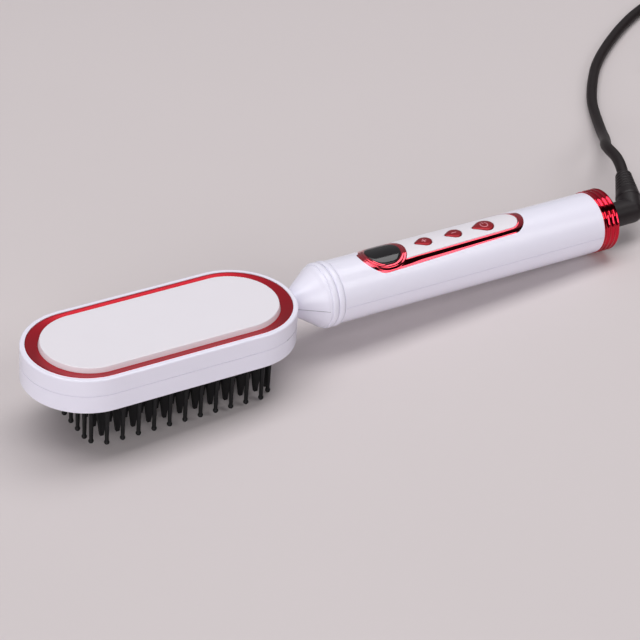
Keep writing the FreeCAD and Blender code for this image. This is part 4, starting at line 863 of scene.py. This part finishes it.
def cordPoints():
    start, size = cordExit, cordRoute["diameter"]
    centreX, centreY = cordRoute["coilCentre"]
    points = [start, start + brushMatrix.to_3x3() @ outletHeading() * cordRoute["firstRun"]]
    for ahead, aside, height in cordRoute["ahead"]:
        points.append(Vector((start.x + ahead, start.y + aside, height)))
    coilTop = Vector((start.x + centreX, start.y + centreY + cordRoute["coilRadius"], cordRoute["coilLow"]))
    for before in cordRoute["leadIn"]:
        points.append(coilTop - Vector((before * size, 0, 0)))
    turns = 2 * cordRoute["coilTurns"] + cordRoute["coilCross"]
    for i in range(1, int(cordRoute["pointsPerTurn"] * turns)):
        points.append(coilPoint(i / cordRoute["pointsPerTurn"]))
    last = coilPoint(turns)
    points.append(Vector((last.x, start.y + centreY - cordRoute["coilRadius"], last.z)))
    points.append(points[-1] - Vector((size, 0, 0)))
    return points


def makeCord():
    size = cordRoute["diameter"]
    points = cordPoints()
    data = bpy.data.curves.new("mainsCord", "CURVE")
    data.dimensions = "3D"
    data.bevel_depth = size / 2
    data.bevel_resolution = cordRoute["ringSteps"]
    data.resolution_u = cordRoute["splineSteps"]
    data.use_fill_caps = True
    spline = data.splines.new("NURBS")
    spline.points.add(len(points) - 1)
    for knot, point in zip(spline.points, points):
        knot.co = (*point, 1.0)
    spline.order_u = 3
    spline.use_endpoint_u = True
    data.materials.append(materials["cord_black"])
    cord = bpy.data.objects.new("mainsCord", data)
    scene.collection.objects.link(cord)
    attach(cord, "cord_set")
    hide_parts("power_cord", "cord_coil")


makeCord()
print("cord laid")

# floor, lamps and world
stageSetup = {"size": 4.0, "drop": 0.0002}
tablePaper = {"color": srgb(210, 201, 202), "drift": 0.015, "driftScale": 6.0, "rough": 0.62, "wear": 0.06,
              "grain": 300, "bump": 0.02}
lampSetup = {
    "overheadSoftbox": {"place": (0.06, 0.19, 1.78), "power": 23.8, "size": (2.6, 0.9)},
    "frontSoftbox": {"place": (1.51, -2.35, 2.27), "power": 24.0, "size": (1.8, 1.4)},
    "leftFill": {"place": (-2.80, -2.27, 1.17), "power": 69.0, "size": (3.2, 1.8)},
}
worldSetup = {
    "levels": [(0.0, 0.165), (0.5, 0.21), (1.0, 0.23)],
    "blue": 1.03,
    "shades": [{"toward": (0.0, 0.927, 0.375), "edge": 0.19, "core": 0.12, "level": 0.06, "band": True},
               {"toward": (0.42, -0.88, 0.15), "edge": 0.72, "core": 0.93, "level": 0.10},
               {"toward": (0.42, 0.75, 0.50), "edge": 0.60, "core": 0.95, "level": 1.6}],
}


def addFloor():
    mesh = bpy.data.meshes.new("tableTop")
    shape = bmesh.new()
    bmesh.ops.create_grid(shape, x_segments=1, y_segments=1, size=stageSetup["size"])
    bmesh.ops.translate(shape, verts=shape.verts, vec=(0, 0, -stageSetup["drop"]))
    shape.to_mesh(mesh)
    shape.free()
    floor = bpy.data.objects.new("tableTop", mesh)
    scene.collection.objects.link(floor)
    mesh.materials.append(makeMaterial("tablePaper", tablePaper))


def addLamp(name, values):
    data = bpy.data.lights.new(name, "AREA")
    data.energy = values["power"]
    data.shape = "RECTANGLE"
    data.size, data.size_y = values["size"]
    lamp = bpy.data.objects.new(name, data)
    scene.collection.objects.link(lamp)
    lamp.location = values["place"]
    lamp.rotation_mode = "QUATERNION"
    away = Vector(values["place"]).normalized()
    across = (Vector((1, 0, 0)) - away * away.x).normalized()
    lamp.rotation_quaternion = Matrix((across, away.cross(across), away)).transposed().to_quaternion()


def addShade(tree, way, values):
    # a factor that changes around one direction, or along the band square to it
    nearness = addDot(tree, way, Vector(values["toward"]).normalized())
    if values.get("band"):
        nearness = addMath(tree, "ABSOLUTE", nearness)
    shade = tree.nodes.new("ShaderNodeMapRange")
    shade.inputs["From Min"].default_value = values["edge"]
    shade.inputs["From Max"].default_value = values["core"]
    shade.inputs["To Min"].default_value = 1.0
    shade.inputs["To Max"].default_value = values["level"]
    tree.links.new(nearness, shade.inputs["Value"])
    return shade.outputs["Result"]


def addWorld():
    # a grey room, brighter overhead and far right, with a dark gap between the lamps and a dark near right
    world = bpy.data.worlds.new("studio")
    scene.world = world
    world.use_nodes = True
    tree = world.node_tree
    way = tree.nodes.new("ShaderNodeTexCoord").outputs["Generated"]
    parts = tree.nodes.new("ShaderNodeSeparateXYZ")
    tree.links.new(way, parts.inputs["Vector"])
    ramp = tree.nodes.new("ShaderNodeValToRGB")
    stops = ramp.color_ramp.elements
    for i, (height, level) in enumerate(worldSetup["levels"]):
        stop = stops[i] if i < 2 else stops.new(height)
        stop.position = height
        stop.color = (level, level, level * worldSetup["blue"], 1)
    tree.links.new(parts.outputs["Z"], ramp.inputs["Fac"])
    shades = [addShade(tree, way, values) for values in worldSetup["shades"]]
    back = tree.nodes["Background"]
    tree.links.new(ramp.outputs["Color"], back.inputs["Color"])
    strength = shades[0]
    for shade in shades[1:]:
        strength = addMath(tree, "MULTIPLY", strength, shade)
    tree.links.new(strength, back.inputs["Strength"])


addFloor()
for name, values in lampSetup.items():
    addLamp(name, values)
addWorld()
print("stage set")
